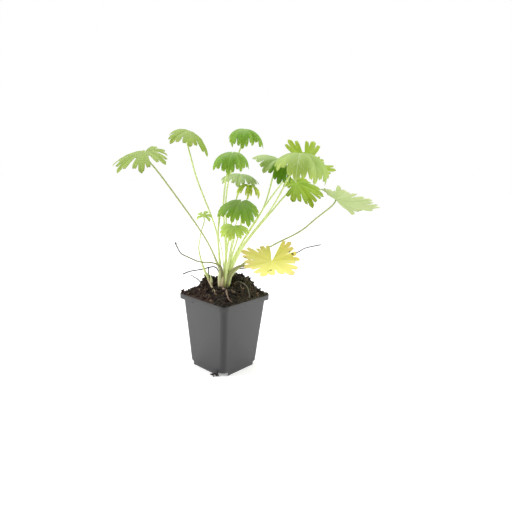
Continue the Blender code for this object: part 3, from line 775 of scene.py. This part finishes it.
# %% Leaf table
LEAVES = {
    "leaf_far_left": dict(
        hub=(-99, -20, 282), lean=(-116, 23), points=272, reach=42, droop=46, cut=0.46, width=0.88,
        lobes={-2: (1.3, -4), -1: (1.13, -5), 0: (1.08, -4), 1: (0.95, 4), 2: (0.77, 9),
               3: (0.66, -30), -3: (0.7, 10)},
        seat=(-2, 0), stalk=[(-5, -1, 126), (-9, -2, 138), (-28, -9, 179), (-77, -17, 249)],
        finish="fresh", stem="stalk_olive"),
    "leaf_upper_left": dict(
        hub=(-55, 30, 311), lean=(-48, 26), points=243, reach=38, droop=65, cut=0.58,
        lobes={-1: (0.72, 2), 0: (0.95, -3), 1: (0.95, -25), 2: (1.33, 0), -2: (0.8, 20),
               -3: (0.8, 20), 3: (0.9, 10)},
        seat=(-1.5, 1),
        stalk=[(-8, 5, 142), (-12, 9, 176), (-20, 13, 200), (-40, 24, 245), (-50, 29, 275)],
        finish="fresh"),
    "leaf_top": dict(
        hub=(19, 55, 318), lean=(-68, 11), points=269, reach=38, droop=99, cut=0.66,
        lobes={-2: (0.86, -16), -1: (1.0, 16), 0: (1.02, 4), 1: (0.85, 13), 2: (1.23, -6)},
        seat=(0, 2),
        stalk=[(0, 9, 140), (-1, 17, 191), (-3, 24, 219), (1, 38, 255), (14, 52, 292)],
        finish="deep"),
    "leaf_upper_middle": dict(
        hub=(8, -35, 284), lean=(-93, 13), points=260, reach=35, droop=96, cut=0.7,
        lobes={-1: (1.02, -13), 0: (1.02, 11), 1: (0.92, 11), 2: (1.02, 4)},
        seat=(0.5, -1), stalk=[(1, -6, 150), (-2, -8, 195), (-3, -13, 223), (1, -26, 256)],
        finish="deep"),
    "leaf_behind_middle": dict(
        hub=(17, 12, 258), lean=(-50, 7), points=266, reach=33, droop=60, cut=0.58, lobes={},
        seat=(-0.5, 1), stalk=[(0, 4, 145), (6, 6, 192), (12, 9, 225)], finish="soft"),
    "leaf_young": dict(
        hub=(28, 14, 245), lean=(0, 8), points=275, reach=29, droop=108, count=5,
        cut=0.42, width=0.8,
        lobes={0: (1.0, 5), -1: (1.0, -10), 1: (1.0, -18), -2: (0.55, -50), 2: (0.9, -15)},
        seat=(0.5, 1), stalk=[(4, 5, 145), (12, 11, 192), (24, 14, 220)], radii=(0.9, 0.6),
        finish="young"),
    "leaf_middle": dict(
        hub=(19, -38, 226), lean=(-83, 21), points=251, reach=36, droop=78, cut=0.62,
        lobes={-1: (1.0, -7), 0: (0.9, 5), 1: (1.06, 9), 2: (1.0, 3), 3: (1.08, -13)},
        seat=(0, 0), stalk=[(4, -2, 135), (10, -5, 158), (16, -8, 178), (20, -13, 200)],
        finish="deep"),
    "leaf_lower_middle": dict(
        hub=(11, -25, 195.5), lean=(-89, 24), points=260, reach=24, droop=68, count=5, cut=0.55,
        lobes={-2: (0.95, -12), -1: (1.02, 14), 0: (0.98, 3), 1: (0.95, 12), 2: (1.1, -5)},
        seat=(0, -2), stalk=[(3, -9, 135), (8, -15, 161), (12, -20, 180)], radii=(1.1, 0.85),
        finish="light"),
    "leaf_right_front": dict(
        hub=(64, 0, 278), lean=(-34, 28), points=244, reach=38, droop=73, cut=0.68,
        lobes={-1: (0.94, -23), 0: (0.92, 4), 1: (1.09, 10), 2: (1.06, 7)},
        seat=(1, 0), stalk=[(5, 1, 132), (19, 1, 165), (47, 1, 215), (58, 1, 255)],
        shaded_from=8, finish="soft"),
    "leaf_right_large": dict(
        hub=(89, -28, 286), lean=(-51, 3), points=308, reach=54, droop=86, cut=0.72,
        lobes={-3: (0.78, -33), -2: (0.9, -6), -1: (1.0, 11), 0: (0.99, 28), 1: (1.1, 22),
               2: (1.24, -18), 3: (1.0, 10)},
        seat=(1.5, -1), stalk=[(7, -4, 131), (22, -8, 167), (57, -18, 217), (76, -24, 255)],
        finish="streaked"),
    "leaf_right_back": dict(
        hub=(106, 62, 272), lean=(-80, 44), points=78, reach=50, droop=6, cut=0.46,
        width=0.82,
        lobes={-1: (0.62, 0), 0: (1.01, -3), 1: (1.02, -11), 2: (0.7, 5), -2: (0.98, -22),
               3: (0.6, 10), -3: (0.7, 0)},
        seat=(1, 2), stalk=[(5, 7, 132), (18, 14, 163), (50, 30, 216), (80, 50, 255)],
        finish="bright"),
    "leaf_right_low": dict(
        hub=(91, 25, 249), lean=(-63, 45), points=313, reach=41, droop=22, cut=0.5,
        lobes={-1: (1.0, -14), 0: (1.02, 3), 1: (1.1, 5), -2: (0.62, 0), 2: (0.7, 10),
               -3: (0.6, 0), 3: (0.6, 0)},
        seat=(1.5, 1), stalk=[(7, 3, 130), (24, 7, 165), (59, 14, 211), (83, 21, 240)],
        finish="grass"),
    "leaf_far_right": dict(
        hub=(139, -10, 231), lean=(-27, 30), points=69, reach=53, droop=-14, cut=0.58,
        lobes={-3: (1.28, 18), -2: (1.2, -21), -1: (1.01, -16), 0: (0.97, 12),
               1: (0.44, 10), 2: (0.52, 22), 3: (0.5, 10)},
        seat=(2, 0),
        stalk=[(10, 1, 128), (38, 7, 151), (65, 9, 168), (97, 4, 187), (116, -1, 205)],
        finish="pale", stem="stalk_olive"),
    "leaf_yellow": dict(
        hub=(60, -32, 154), lean=(-108, 28), points=255, reach=45, droop=-9, cut=0.52,
        lobes={-3: (0.98, 9), -2: (1.04, -9), -1: (0.89, -3), 0: (1.05, -12), 1: (1.09, 2),
               2: (0.91, 14), 3: (1.12, -21)},
        seat=(1, -2), stalk=[(7, -8, 129), (17, -11, 140), (30, -17, 143), (48, -26, 146)],
        finish="yellow", stem="dry_olive"),
    "leaf_small_left": dict(
        hub=(-29, -3, 203), lean=(-92, 35), points=80, reach=16, droop=65, count=5,
        cut=0.34, width=0.75,
        lobes={-2: (0.9, 35), -1: (0.97, 5), 0: (1.05, -26), 1: (1.0, -18), 2: (1.1, 35)},
        stalk=[(-21, 3, 108), (-22, 3, 118), (-27, 3, 128), (-32, 4, 141), (-36, 4, 158),
               (-35, 3, 169), (-32, 0, 185)],
        radii=(0.85, 0.7), finish="light"),
}
print("leaves:", len(LEAVES))

# %% Make the leaves
CROWN_TOP = 110.5
SEAT_DEPTH = 9.5
SEAT_PITCH = 2.75
SEAT_ROW = 2.5
HUB_APPROACH = 9.0
HUB_SINK = 0.2
STALK_STEP = 4.0
STALK_RADII = (1.25, 0.98)
FOOT_SWELL = 1.0
FOOT_LENGTH = 65.0


def stalk_points(spec):
    points = [Vector(p) for p in spec["stalk"]]
    if "seat" in spec:
        across, up = spec["seat"]
        foot = Vector((across * SEAT_PITCH, up * SEAT_ROW, CROWN_TOP - SEAT_DEPTH))
        points = [foot, foot + Vector((0, 0, SEAT_DEPTH - 0.5))] + points
    return points


def swell(height):
    """How much thicker a stalk is at a height, close to the crown."""
    return FOOT_SWELL * (1.0 - ease(min(1.0, max(0.0, (height - CROWN_TOP) / FOOT_LENGTH))))


def make_leaf(name, spec):
    placed = leaf_frame(spec)
    bm = grow_blade(spec)
    bmesh.ops.transform(bm, matrix=placed, verts=bm.verts)
    mark_top(bm)
    under, slot = (("yellow_underside", "leaf_yellow") if spec["finish"] == "yellow"
                   else ("underside", "leaf_green"))
    blade = finish_piece(name + "_blade", bm, [LEAF_FINISHES[spec["finish"]],
                                               LEAF_FINISHES[under]], name)
    thick = blade.modifiers.new("thickness", "SOLIDIFY")
    thick.thickness = BLADE_THICKNESS * MM
    thick.offset = -1.0
    thick.material_offset = 1
    face = (placed.to_3x3() @ Vector((0, 0, 1))).normalized()
    hub = Vector(spec["hub"])
    points = stalk_points(spec) + [hub - face * HUB_APPROACH, hub - face * HUB_SINK]
    route, shares = smooth_route(points, STALK_STEP)
    radii = spec.get("radii", STALK_RADII)
    stem = bmesh.new()
    grow_stem(stem, route, [radius_at(radii, s) + swell(p.z) for p, s in zip(route, shares)])
    finish_piece(name + "_stalk", stem, [STEM_FINISHES[spec.get("stem", "stalk_green")]], name)
    return len(blade.data.polygons)


print("blade faces:", sum(make_leaf(name, spec) for name, spec in LEAVES.items()))

# %% [markdown]
# ## Plain stems
#
# Among the leaves stand a flower bud on its stem, three dried stalks of last year's leaves, a
# dry stub and a twig, and a pale side shoot. The bud and the knots could be balls put on the
# stems, but a stem that swells and narrows has no seam. So all of them are stems like the
# stalks, each with its own radius at each point.

# %% Stems
STEM_STEP = 1.5
THIN_SIDES = 10
STEMS = {
    "bud_stem": dict(
        seat=(-0.5, -1), finish="stalk_green", slot="leaf_green",
        radii=(0.8, 0.75, 0.7, 0.65, 0.6, 1.5, 1.7, 0.5),
        stalk=[(-2, -6, 140), (-4, -10, 160), (-7, -12, 173), (-9, -13, 185), (-8, -14, 203),
               (-7, -14, 209), (-7, -14, 216)]),
    "dry_stem_left": dict(
        seat=(-1, -2), finish="dry_base", slot="dry_stem",
        radii=(1.5, 1.6, 1.7, 1.4, 1.0, 0.95, 0.9, 0.85, 0.8, 0.75, 0.75, 1.4, 0.8),
        stalk=[(-3.5, -8, 130), (-5.5, -10, 139), (-11, -12, 143), (-19, -13, 145),
               (-33, -15, 146), (-47, -17, 152), (-56, -18, 157), (-61.5, -19, 167),
               (-62, -19, 168.2), (-62.4, -19, 169.6), (-62.8, -19, 171)]),
    "dry_stem_low_left": dict(
        finish="dry_dark", slot="dry_stem", radii=(0.9, 0.9, 0.9, 0.9, 0.85, 0.8, 0.95),
        stalk=[(-9, 9, 106), (-9, 9, 122), (-11, 10, 130), (-17, 10, 134), (-33, 9, 130),
               (-48, 8, 127), (-58, 7, 123)]),
    "dry_stem_right": dict(
        finish="dry_grey", slot="dry_stem",
        radii=(0.9, 0.9, 0.9, 0.9, 0.9, 0.85, 0.8, 0.75, 0.8),
        stalk=[(10, 11, 106), (11, 12, 122), (15, 14, 130), (22, 15, 132), (31, 16, 133),
               (60, 20, 140), (95, 24, 154), (108, 26, 161), (129, 28, 166)]),
    "side_shoot": dict(
        finish="shoot_pale", slot="shoot_pale", radii=(1.7, 1.8, 1.6, 1.1, 0.6),
        stalk=[(-18, -2, 104), (-18, -2, 112), (-18, -2, 118), (-18.5, -2, 121),
               (-19.5, -2, 125)]),
    "dry_stub": dict(
        finish="dry_dark", slot="dry_stem", radii=(1.1, 1.0, 0.8, 1.2),
        stalk=[(-24, 12, 112), (-24, 12, 120), (-23.5, 12, 129), (-24.5, 12, 133)]),
    "dry_twig": dict(
        finish="dry_grey", slot="dry_stem", radii=(0.8, 0.75, 0.6),
        stalk=[(-30, -4, 108), (-34, -5, 118), (-45, -7, 126)]),
}


def make_stem(name, spec):
    route, shares = smooth_route(stalk_points(spec), STEM_STEP)
    bm = bmesh.new()
    grow_stem(bm, route, [radius_at(spec["radii"], s) for s in shares], THIN_SIDES)
    return finish_piece(name + "_skin", bm, [STEM_FINISHES[spec["finish"]]], name)


print("stems:", [make_stem(name, spec).name for name, spec in STEMS.items()])

# %% [markdown]
# ## The peat
#
# Potting peat is dark and crumbly, heaped higher behind the stems, a little green on the right
# and rusty on the left. Its body is a grid pushed into the pot's rounded square, lifted by the
# same heaps as the solid, with three sizes of lumps on top. A height map can't overhang, so
# what lies on the peat is made as small meshes of its own: loose crumbs, a few of them fallen
# beside the pot's foot, fibres, roots that follow the ground, and the papery scales and short
# stubs where old stalks stood. Thousands of loose grains would be closer to real peat, but they
# would hardly show and would cost a great many faces.

# %% Peat finish
# the black below is dark peat and also painted shade in hollows; the light colour is pale peat and
# also a painted highlight on raised grains
PEAT_BLACK_AND_SHADE = (0.006, 0.005, 0.004)
PEAT_BROWN = (0.040, 0.026, 0.017)
PEAT_PALE_AND_HIGHLIGHT = (0.095, 0.065, 0.038)
PEAT_MOSS = (0.046, 0.046, 0.018)
PEAT_RUST = (0.052, 0.022, 0.015)
BARK_DARK = (0.06, 0.036, 0.024)
BARK_LIGHT = (0.24, 0.17, 0.10)


def peat_finish():
    made, tree, shader, place = new_finish("peat_damp", 0.85, 0.3)
    large = noise_at(tree, place, 160.0, 6.0, 0.65)
    fine = noise_at(tree, place, 900.0, 4.0, 0.7)
    # darkest where the bump below is low, partly dark peat and partly painted shade; lightest on its
    # raised grains, partly pale bits and partly painted highlight
    colour = blend(tree, ramp(tree, large, 0.38, 0.66), PEAT_BLACK_AND_SHADE, PEAT_BROWN)
    colour = blend(tree, ramp(tree, fine, 0.60, 0.78), colour, PEAT_PALE_AND_HIGHLIGHT)
    patch = noise_at(tree, place, 45.0, 2.0)
    side = node(tree, "SeparateXYZ")
    tree.links.new(place, side.inputs[0])
    right = ramp(tree, side.outputs["X"], 5 * MM, 35 * MM, 0.0, 0.35)
    left = ramp(tree, side.outputs["X"], -2 * MM, -32 * MM, 0.0, 0.35)
    mossy = plus(tree, right, ramp(tree, patch, 0.54, 0.72, 0.0, 0.5))
    rusty = plus(tree, left, ramp(tree, patch, 0.46, 0.28, 0.0, 0.5))
    colour = blend(tree, mossy, colour, PEAT_MOSS)
    colour = blend(tree, rusty, colour, PEAT_RUST)
    tree.links.new(ramp(tree, fine, 0.3, 0.8, 0.95, 0.6), shader.inputs["Roughness"])
    add_skin(tree, shader, colour, plus(tree, large, times(tree, fine, 0.5)), 1.6, 1.0)
    return made


def bark_finish():
    made, tree, shader, place = new_finish("bark_bits", 0.8, 0.3)
    grain = noise_at(tree, place, 600.0)
    colour = blend(tree, ramp(tree, grain, 0.35, 0.65), BARK_DARK, BARK_LIGHT)
    add_skin(tree, shader, colour, grain, 0.4, 0.8)
    return made


PEAT = peat_finish()
BARK = bark_finish()
print("finishes:", PEAT.name, BARK.name)

# %% Peat body
POT_TURN = 48.6
POT_HEIGHT = 100.0
POT_FOOT = 65.4
POT_RIM = 90.0
RIM_OVERHANG = 3.8
RIM_DROP = 6.5
POT_WALL = 1.0
CORNER_RADIUS = 8.0
GAP = 0.3
FLOOR_HEIGHT = 6.0
FOOT_FOLD = 3.0
LEDGE = 44.2
LEDGE_CRUMBS = 1.4
SOIL_CELLS = 170
SOIL_EDGE = 99.6
SOIL_DOME = 10.0
SOIL_HEAPS = ((8, 20, 24, 15, 17.0), (-27, 12, 11, 12, 15.0), (30, 6, 13, 13, 13.0),
              (16, -14, 20, 16, 2.0))
SOIL_LUMP = 2.4
SOIL_LUMP_SIZE = 9.0
CRUMB_LUMPS = ((1.4, 2.6, 5.0), (0.7, 1.1, 11.0))   # height, size and layer of the noise


def wall_width(height):
    top = POT_RIM - 2 * RIM_OVERHANG
    return POT_FOOT + (top - POT_FOOT) * height / POT_HEIGHT


def rounded(x, y, half, radius):
    """A point of a square, drawn in so that the square's corners become round."""
    ring = max(abs(x), abs(y))
    if ring < 1e-9:
        return x, y
    edge_x, edge_y = x / ring * half, y / ring * half
    corner = half - radius
    if abs(edge_x) > corner and abs(edge_y) > corner:
        centre = Vector((math.copysign(corner, edge_x), math.copysign(corner, edge_y)))
        out = Vector((edge_x, edge_y)) - centre
        edge_x, edge_y = centre + out.normalized() * radius
    return edge_x * ring / half, edge_y * ring / half


def soil_height(x, y, ring):
    away = 1.0 - ring ** 4
    high = SOIL_EDGE + SOIL_DOME * (1.0 - ring * ring) ** 0.8
    for heap_x, heap_y, wide, deep, rise in SOIL_HEAPS:
        off = ((x - heap_x) / wide) ** 2 + ((y - heap_y) / deep) ** 2
        high += rise * math.exp(-off) * away
    lump = noise.noise(Vector((x, y, 7.0)) / SOIL_LUMP_SIZE)
    return high + SOIL_LUMP * lump * away


def crumbs_on(x, y):
    """Lumps on the soil, in three sizes, the coarse ones with sharp tops."""
    coarse = 1.0 - 2.0 * abs(noise.noise(Vector((x, y, 3.0)) / 5.5))
    rise = 2.2 * coarse - 0.9
    for high, size, layer in CRUMB_LUMPS:
        rise += high * noise.noise(Vector((x, y, layer)) / size)
    return rise


def peat_top(x, y):
    """Height of the peat at a place of the pot's own square, and the place in the world."""
    turn = math.radians(POT_TURN)
    wall = wall_width(SOIL_EDGE) / 2 - POT_WALL - GAP
    ring = max(abs(x), abs(y))
    wx = x * math.cos(turn) - y * math.sin(turn)
    wy = x * math.sin(turn) + y * math.cos(turn)
    lumps = crumbs_on(wx, wy)
    if ring < wall:
        inward = ring / wall
        high = soil_height(wx, wy, inward) + lumps * (1.0 - 0.6 * inward ** 8)
        return wx, wy, max(high, SOIL_EDGE)
    out = (ring - wall) / (LEDGE - wall)
    return wx, wy, POT_HEIGHT + (LEDGE_CRUMBS + 0.5 * lumps) * (1.0 - out ** 2) - 0.1 * out


def on_peat(wx, wy):
    """Height of the peat under a place in the world."""
    turn = math.radians(POT_TURN)
    return peat_top(wx * math.cos(turn) + wy * math.sin(turn),
                    wy * math.cos(turn) - wx * math.sin(turn))[2]


def make_soil():
    bm = bmesh.new()
    bmesh.ops.create_grid(bm, x_segments=SOIL_CELLS, y_segments=SOIL_CELLS, size=LEDGE)
    for v in bm.verts:
        x, y = rounded(v.co.x, v.co.y, LEDGE, CORNER_RADIUS + RIM_OVERHANG / 2)
        v.co = Vector(peat_top(x, y)) * MM
    sides = [e for e in bm.edges if e.is_boundary]
    wall = (wall_width(SOIL_EDGE) / 2 - POT_WALL - GAP) / LEDGE
    low = FLOOR_HEIGHT + POT_WALL + GAP
    foot = (wall_width(low) / 2 - FOOT_FOLD - GAP) / LEDGE
    for share, level in ((wall, POT_HEIGHT - 0.2), (foot / wall, low)):
        verts, sides = extrude_loop(bm, sides)
        for v in verts:
            v.co = Vector((v.co.x * share, v.co.y * share, level * MM))
    bmesh.ops.contextual_create(bm, geom=sides)
    bmesh.ops.recalc_face_normals(bm, faces=bm.faces)
    for f in bm.faces:
        f.smooth = True
    return finish_piece("peat_body", bm, [PEAT], "soil")


print("peat faces:", len(make_soil().data.polygons))

# %% Loose crumbs
CRUMBS = 1800
CRUMB_FIELD = 42.6
BARK_SHARE = 0.03
FALLEN = ((-13, -39.5, 1.7, 1.2), (-10.5, -41, 2.6, 1.9), (-8, -39.5, 2.1, 1.5),
          (-6, -42, 1.9, 1.4), (-9, -44, 1.5, 1.1), (-3.5, -42.6, 1.6, 1.2),
          (-40.4, -25.2, 93.8, 0.8))


def add_crumb(bm, spot, size, slot):
    """One crumb: a small ball, knocked out of round."""
    made = bmesh.ops.create_icosphere(bm, subdivisions=1, radius=size * MM, matrix=spot)
    for v in made["verts"]:
        v.co += noise.noise_vector(v.co * 900.0) * size * 0.45 * MM
        for f in v.link_faces:
            f.material_index = slot


def make_crumbs():
    rng = random.Random(4)
    bm = bmesh.new()
    for _ in range(CRUMBS):
        x, y = rounded(rng.uniform(-CRUMB_FIELD, CRUMB_FIELD),
                       rng.uniform(-CRUMB_FIELD, CRUMB_FIELD), CRUMB_FIELD, CORNER_RADIUS)
        size = 0.5 + 2.3 * rng.random() ** 3
        wx, wy, high = peat_top(x, y)
        axis = Vector((rng.random(), rng.random(), 0.3))
        spot = (Matrix.Translation(Vector((wx, wy, high + size * 0.3)) * MM)
                @ Matrix.Rotation(rng.uniform(0, 6.28), 4, axis)
                @ Matrix.Diagonal((1.0, rng.uniform(0.6, 1.0), rng.uniform(0.5, 0.9), 1.0)))
        add_crumb(bm, spot, size, int(rng.random() > 1.0 - BARK_SHARE))
    for px, py, pz, size in FALLEN:
        add_crumb(bm, Matrix.Translation(Vector((px, py, pz)) * MM), size, 0)
    return finish_piece("peat_crumbs", bm, [PEAT, BARK], "soil")


print("crumb faces:", len(make_crumbs().data.polygons))

# %% Fibres and roots
FIBRES = 110
ROOT_STEP = 1.2
ROOT_LIFT = 0.3
ROOT_KNOBS = 0.25
ROOTS = {
    "root_arched": ("root_grey", (0.6, 0.55, 0.55, 0.5, 0.5, 0.4),
                    [(10.8, -1.9, 114.0), (17.4, -3.0, 118.0), (25.1, -13.2, 118.3),
                     (30.6, -21.8, 115.5), (32.9, -31.2, 111.0), (33.9, -33.1, 105.0)]),
    "root_front": ("root_pink", (1.4, 1.3, 1.0, 0.8, 0.5),
                   [(-1.2, -18.1, 112.0), (3.0, -22.8, 110.8), (5.2, -34.3, 108.3),
                    (7.8, -44.2, 106.2), (12.6, -50.8, 104.6)]),
    "scale_left": ("shoot_pale", (1.5, 1.9, 1.5, 1.2, 0.5),
                   [(-6.2, -7.5, 108), (-6.9, -8.5, 114), (-7.5, -8.8, 121), (-7.7, -8.5, 128),
                    (-7.4, -8, 133)]),
    "scale_front": ("papery_scale", (1.8, 2.2, 1.9, 1.3, 0.4),
                    [(-3.5, -8.5, 108), (-3.6, -9.3, 113), (-3.2, -9, 118), (-2.7, -8.4, 123),
                     (-2.4, -8, 127)]),
    "root_old": ("root_pale", (1.2, 1.2, 1.0, 0.8, 0.5),
                 [(-25, 7, 118), (-22, 0, 117), (-18, -8, 113), (-13, -17, 108.5),
                  (-10, -25, 104.5)]),
    "stub_back": ("root_pale", (0.9, 1.0, 0.8), [(-27, 8, 112), (-28, 7, 121), (-29, 6, 124)]),
    "stub_middle": ("shoot_pale", (0.9, 1.0, 0.5), [(-24, 8, 113), (-23.5, 6, 121), (-24, 5, 126)]),
    "stub_front": ("root_pale", (0.8, 0.9, 0.7), [(-21, 3, 112), (-21.5, 1, 120), (-23, 0, 122)]),
}


def make_fibres():
    rng = random.Random(9)
    bm = bmesh.new()
    for _ in range(FIBRES):
        x, y = rng.uniform(-37, 37), rng.uniform(-37, 37)
        way = rng.uniform(0, 6.28)
        long = rng.uniform(3.0, 9.0)
        lift = rng.uniform(0.3, 2.6)
        thick = rng.uniform(0.14, 0.30)
        points = []
        for k, rise in enumerate((-0.8, lift, 0.5 * lift, -0.8)):
            bend = way + rng.uniform(-0.6, 0.6)
            wx, wy, high = peat_top(x + math.cos(bend) * long * k / 3,
                                    y + math.sin(bend) * long * k / 3)
            points.append((wx, wy, high + rise))
        route, _ = smooth_route(points, ROOT_STEP)
        grow_stem(bm, route, [thick] * len(route), 5, 0 if rng.random() > 0.25 else 1)
    return finish_piece("peat_fibres", bm, [STEM_FINISHES["root_tan"], STEM_FINISHES["root_pale"]],
                        "soil")


def make_roots():
    for name, (finish, radii, points) in ROOTS.items():
        route, shares = smooth_route(points, ROOT_STEP)
        for p, s in zip(route, shares):
            if name.startswith("root") and 0.1 < s < 0.92:
                p.z = max(p.z, on_peat(p.x, p.y) + ROOT_LIFT)
        bm = bmesh.new()
        grow_stem(bm, route, [radius_at(radii, s) for s in shares], THIN_SIDES)
        for v in bm.verts:
            v.co += noise.noise_vector(v.co * 500.0) * ROOT_KNOBS * MM
        finish_piece(name, bm, [STEM_FINISHES[finish]], "soil")
    return len(ROOTS)


print("fibre faces:", len(make_fibres().data.polygons), "roots:", make_roots())

# %% [markdown]
# ## The pot
#
# A nursery pot is one thin moulding of grey plastic: four flat tapering walls with rounded
# uprights, a lip that turns out and down, and a foot that folds back up to a raised floor. A
# cube is tapered and its uprights bevelled, then the open top is extruded outwards and down
# and the open foot inwards and up. The wall gets its thickness, a small bevel rounds its
# edges, and the notches and drain holes are cut. A flat bent sheet with a thickness is closer
# to the real moulding than a solid block with a hollow in it. A round pad under the middle of
# the floor, which the real pot may not have, gives the model a flat face at its origin.

# %% Pot finish
POT_DARK = (0.028, 0.028, 0.031)
POT_LIGHT = (0.037, 0.037, 0.040)
# painted shade for the pot's rounded corners
POT_CORNER_SHADE = (0.006, 0.006, 0.008)
# painted highlight for the lip, paler than the wall
POT_LIP_SHEEN = (0.095, 0.090, 0.085)
POT_DUST = (0.24, 0.22, 0.20)


def pot_finish():
    made, tree, shader, place = new_finish("pot_plastic", 0.42, 0.5)
    cloud = noise_at(tree, place, 35.0, 4.0, 0.6)
    speck = noise_at(tree, place, 1400.0, 2.0)
    colour = blend(tree, ramp(tree, cloud, 0.3, 0.7), POT_DARK, POT_LIGHT)
    dust = times(tree, ramp(tree, speck, 0.64, 0.70), ramp(tree, cloud, 0.5, 0.7))
    # the first mask below is painted shade on the rounded corners
    for mask, share, over in ((attribute(tree, "corner"), 0.8, POT_CORNER_SHADE),
                              # painted highlight: the whole lip is mixed towards a paler grey
                              (attribute(tree, "lip"), 0.22, POT_LIP_SHEEN), (dust, 0.35, POT_DUST)):
        colour = blend(tree, times(tree, mask, share), colour, over)
    tree.links.new(ramp(tree, cloud, 0.2, 0.8, 0.38, 0.52), shader.inputs["Roughness"])
    add_skin(tree, shader, colour, plus(tree, cloud, times(tree, speck, 0.1)), 0.25, 0.35)
    return made


POT_PLASTIC = pot_finish()
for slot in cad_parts["crown"].material_slots:
    slot.material = PEAT
print("finish:", POT_PLASTIC.name)

# %% Pot shell
CORNER_STEPS = 10
EDGE_BEVEL = 0.35


def extrude_rim(bm, edges, share, lift=0.0):
    """Extrude open edges, and carry the new ones outwards or inwards and up or down."""
    verts, edges = extrude_loop(bm, edges)
    for v in verts:
        v.co = Vector((v.co.x * share, v.co.y * share, v.co.z + lift * MM))
    return edges


def pot_sheet():
    """The pot as one bent sheet, without thickness."""
    under_rim = POT_HEIGHT - POT_WALL
    bm = bmesh.new()
    bmesh.ops.create_cube(bm, size=1.0)
    for v in bm.verts:
        width = wall_width(under_rim) if v.co.z > 0 else POT_FOOT
        v.co = Vector((v.co.x * width, v.co.y * width, under_rim if v.co.z > 0 else 0.0)) * MM
    uprights = [e for e in bm.edges if abs(e.verts[0].co.z - e.verts[1].co.z) > MM]
    bmesh.ops.bevel(bm, geom=uprights, offset=CORNER_RADIUS * MM, segments=CORNER_STEPS,
                    profile=0.5, affect="EDGES", material=-1)
    ends = sorted(bm.faces, key=lambda f: f.calc_center_median().z)
    inner, rim = list(ends[0].edges), list(ends[-1].edges)
    bmesh.ops.delete(bm, geom=[ends[0], ends[-1]], context="FACES_ONLY")
    inner = extrude_rim(bm, inner, 1.0 - 2 * FOOT_FOLD / POT_FOOT)
    inner = extrude_rim(bm, inner, 1.0, FLOOR_HEIGHT)
    bmesh.ops.contextual_create(bm, geom=inner)
    half = wall_width(under_rim) / 2
    rim = extrude_rim(bm, rim, (half + RIM_OVERHANG - POT_WALL) / half)
    extrude_rim(bm, rim, 1.0, POT_WALL - RIM_DROP)
    bmesh.ops.recalc_face_normals(bm, faces=bm.faces)
    wall = max(bm.faces, key=lambda f: f.calc_area())
    if wall.normal.dot(wall.calc_center_median()) < 0:
        bmesh.ops.reverse_faces(bm, faces=bm.faces)
    return bm


# %% Pot cutters
NOTCH_HEIGHT = 5.0
NOTCH_WIDTH = 12.0
NOTCH_DEPTH = 16.0
DRAIN_HOLE = 3.0
DRAIN_OFFSET = 17.0
FOOT_PAD = 8.0


def pot_cutters():
    """Boxes for the corner notches and drums for the drain holes, in one mesh."""
    bm = bmesh.new()
    corner = POT_FOOT / math.sqrt(2) - CORNER_RADIUS * (math.sqrt(2) - 1)
    size = Matrix.Diagonal((NOTCH_DEPTH * MM, NOTCH_WIDTH * MM, 2 * NOTCH_HEIGHT * MM, 1))
    for k in range(4):
        turn = Matrix.Rotation(math.radians(45 + 90 * k), 4, "Z")
        place = turn @ Matrix.Translation((corner * MM, 0, 0)) @ size
        bmesh.ops.create_cube(bm, size=1.0, matrix=place)
        place = turn @ Matrix.Translation((DRAIN_OFFSET * MM, 0, FLOOR_HEIGHT * MM))
        bmesh.ops.create_cone(bm, cap_ends=True, segments=24, radius1=DRAIN_HOLE * MM,
                              radius2=DRAIN_HOLE * MM, depth=6 * MM, matrix=place)
    return bm


print("pot tools ready")


# %% Pot piece
def settled_pot():
    """The sheet with its thickness, rounded edges, notches and holes, as one mesh."""
    sheet = mesh_object("pot_sheet", pot_sheet())
    cutter = mesh_object("pot_cutter", pot_cutters())
    shell = sheet.modifiers.new("wall", "SOLIDIFY")
    shell.thickness = POT_WALL * MM
    shell.offset = -1.0
    shell.use_even_offset = True
    holes = sheet.modifiers.new("holes", "BOOLEAN")
    holes.operation = "DIFFERENCE"
    holes.object = cutter
    soft = sheet.modifiers.new("soft_edges", "BEVEL")
    soft.width = EDGE_BEVEL * MM
    soft.segments = 2
    soft.limit_method = "ANGLE"
    soft.angle_limit = math.radians(50)
    bpy.context.view_layer.update()
    seen = sheet.evaluated_get(bpy.context.evaluated_depsgraph_get())
    bm = bmesh.new()
    bm.from_mesh(seen.to_mesh())
    for thing in (sheet, cutter):
        bpy.data.objects.remove(thing, do_unlink=True)
    return bm


def make_pot():
    bm = settled_pot()
    corner_shade_layer = bm.verts.layers.float.new("corner")
    lip_sheen_layer = bm.verts.layers.float.new("lip")
    for v in bm.verts:
        x, y, z = (abs(c) / MM for c in v.co)
        half = wall_width(z) / 2
        inward = min(x, y) - (half - CORNER_RADIUS)
        # painted shade mask, rising across each rounded corner
        v[corner_shade_layer] = max(0.0, min(1.0, inward / CORNER_RADIUS * 1.5))
        # painted highlight mask: every point of the lip outside the wall
        v[lip_sheen_layer] = 1.0 if max(x, y) > half + 0.5 else 0.0
    level = Matrix.Translation((0, 0, (FLOOR_HEIGHT + POT_WALL / 2) / 2 * MM))
    bmesh.ops.create_cone(bm, cap_ends=True, segments=48, radius1=FOOT_PAD * MM,
                          radius2=FOOT_PAD * MM, depth=(FLOOR_HEIGHT + POT_WALL / 2) * MM,
                          matrix=level)
    bmesh.ops.rotate(bm, verts=bm.verts, matrix=Matrix.Rotation(math.radians(POT_TURN), 3, "Z"))
    pot = finish_piece("pot_shell", bm, [POT_PLASTIC], "pot")
    pot.data.shade_smooth()
    pot.data.set_sharp_from_angle(angle=math.radians(35))
    return pot


print("pot faces:", len(make_pot().data.polygons))
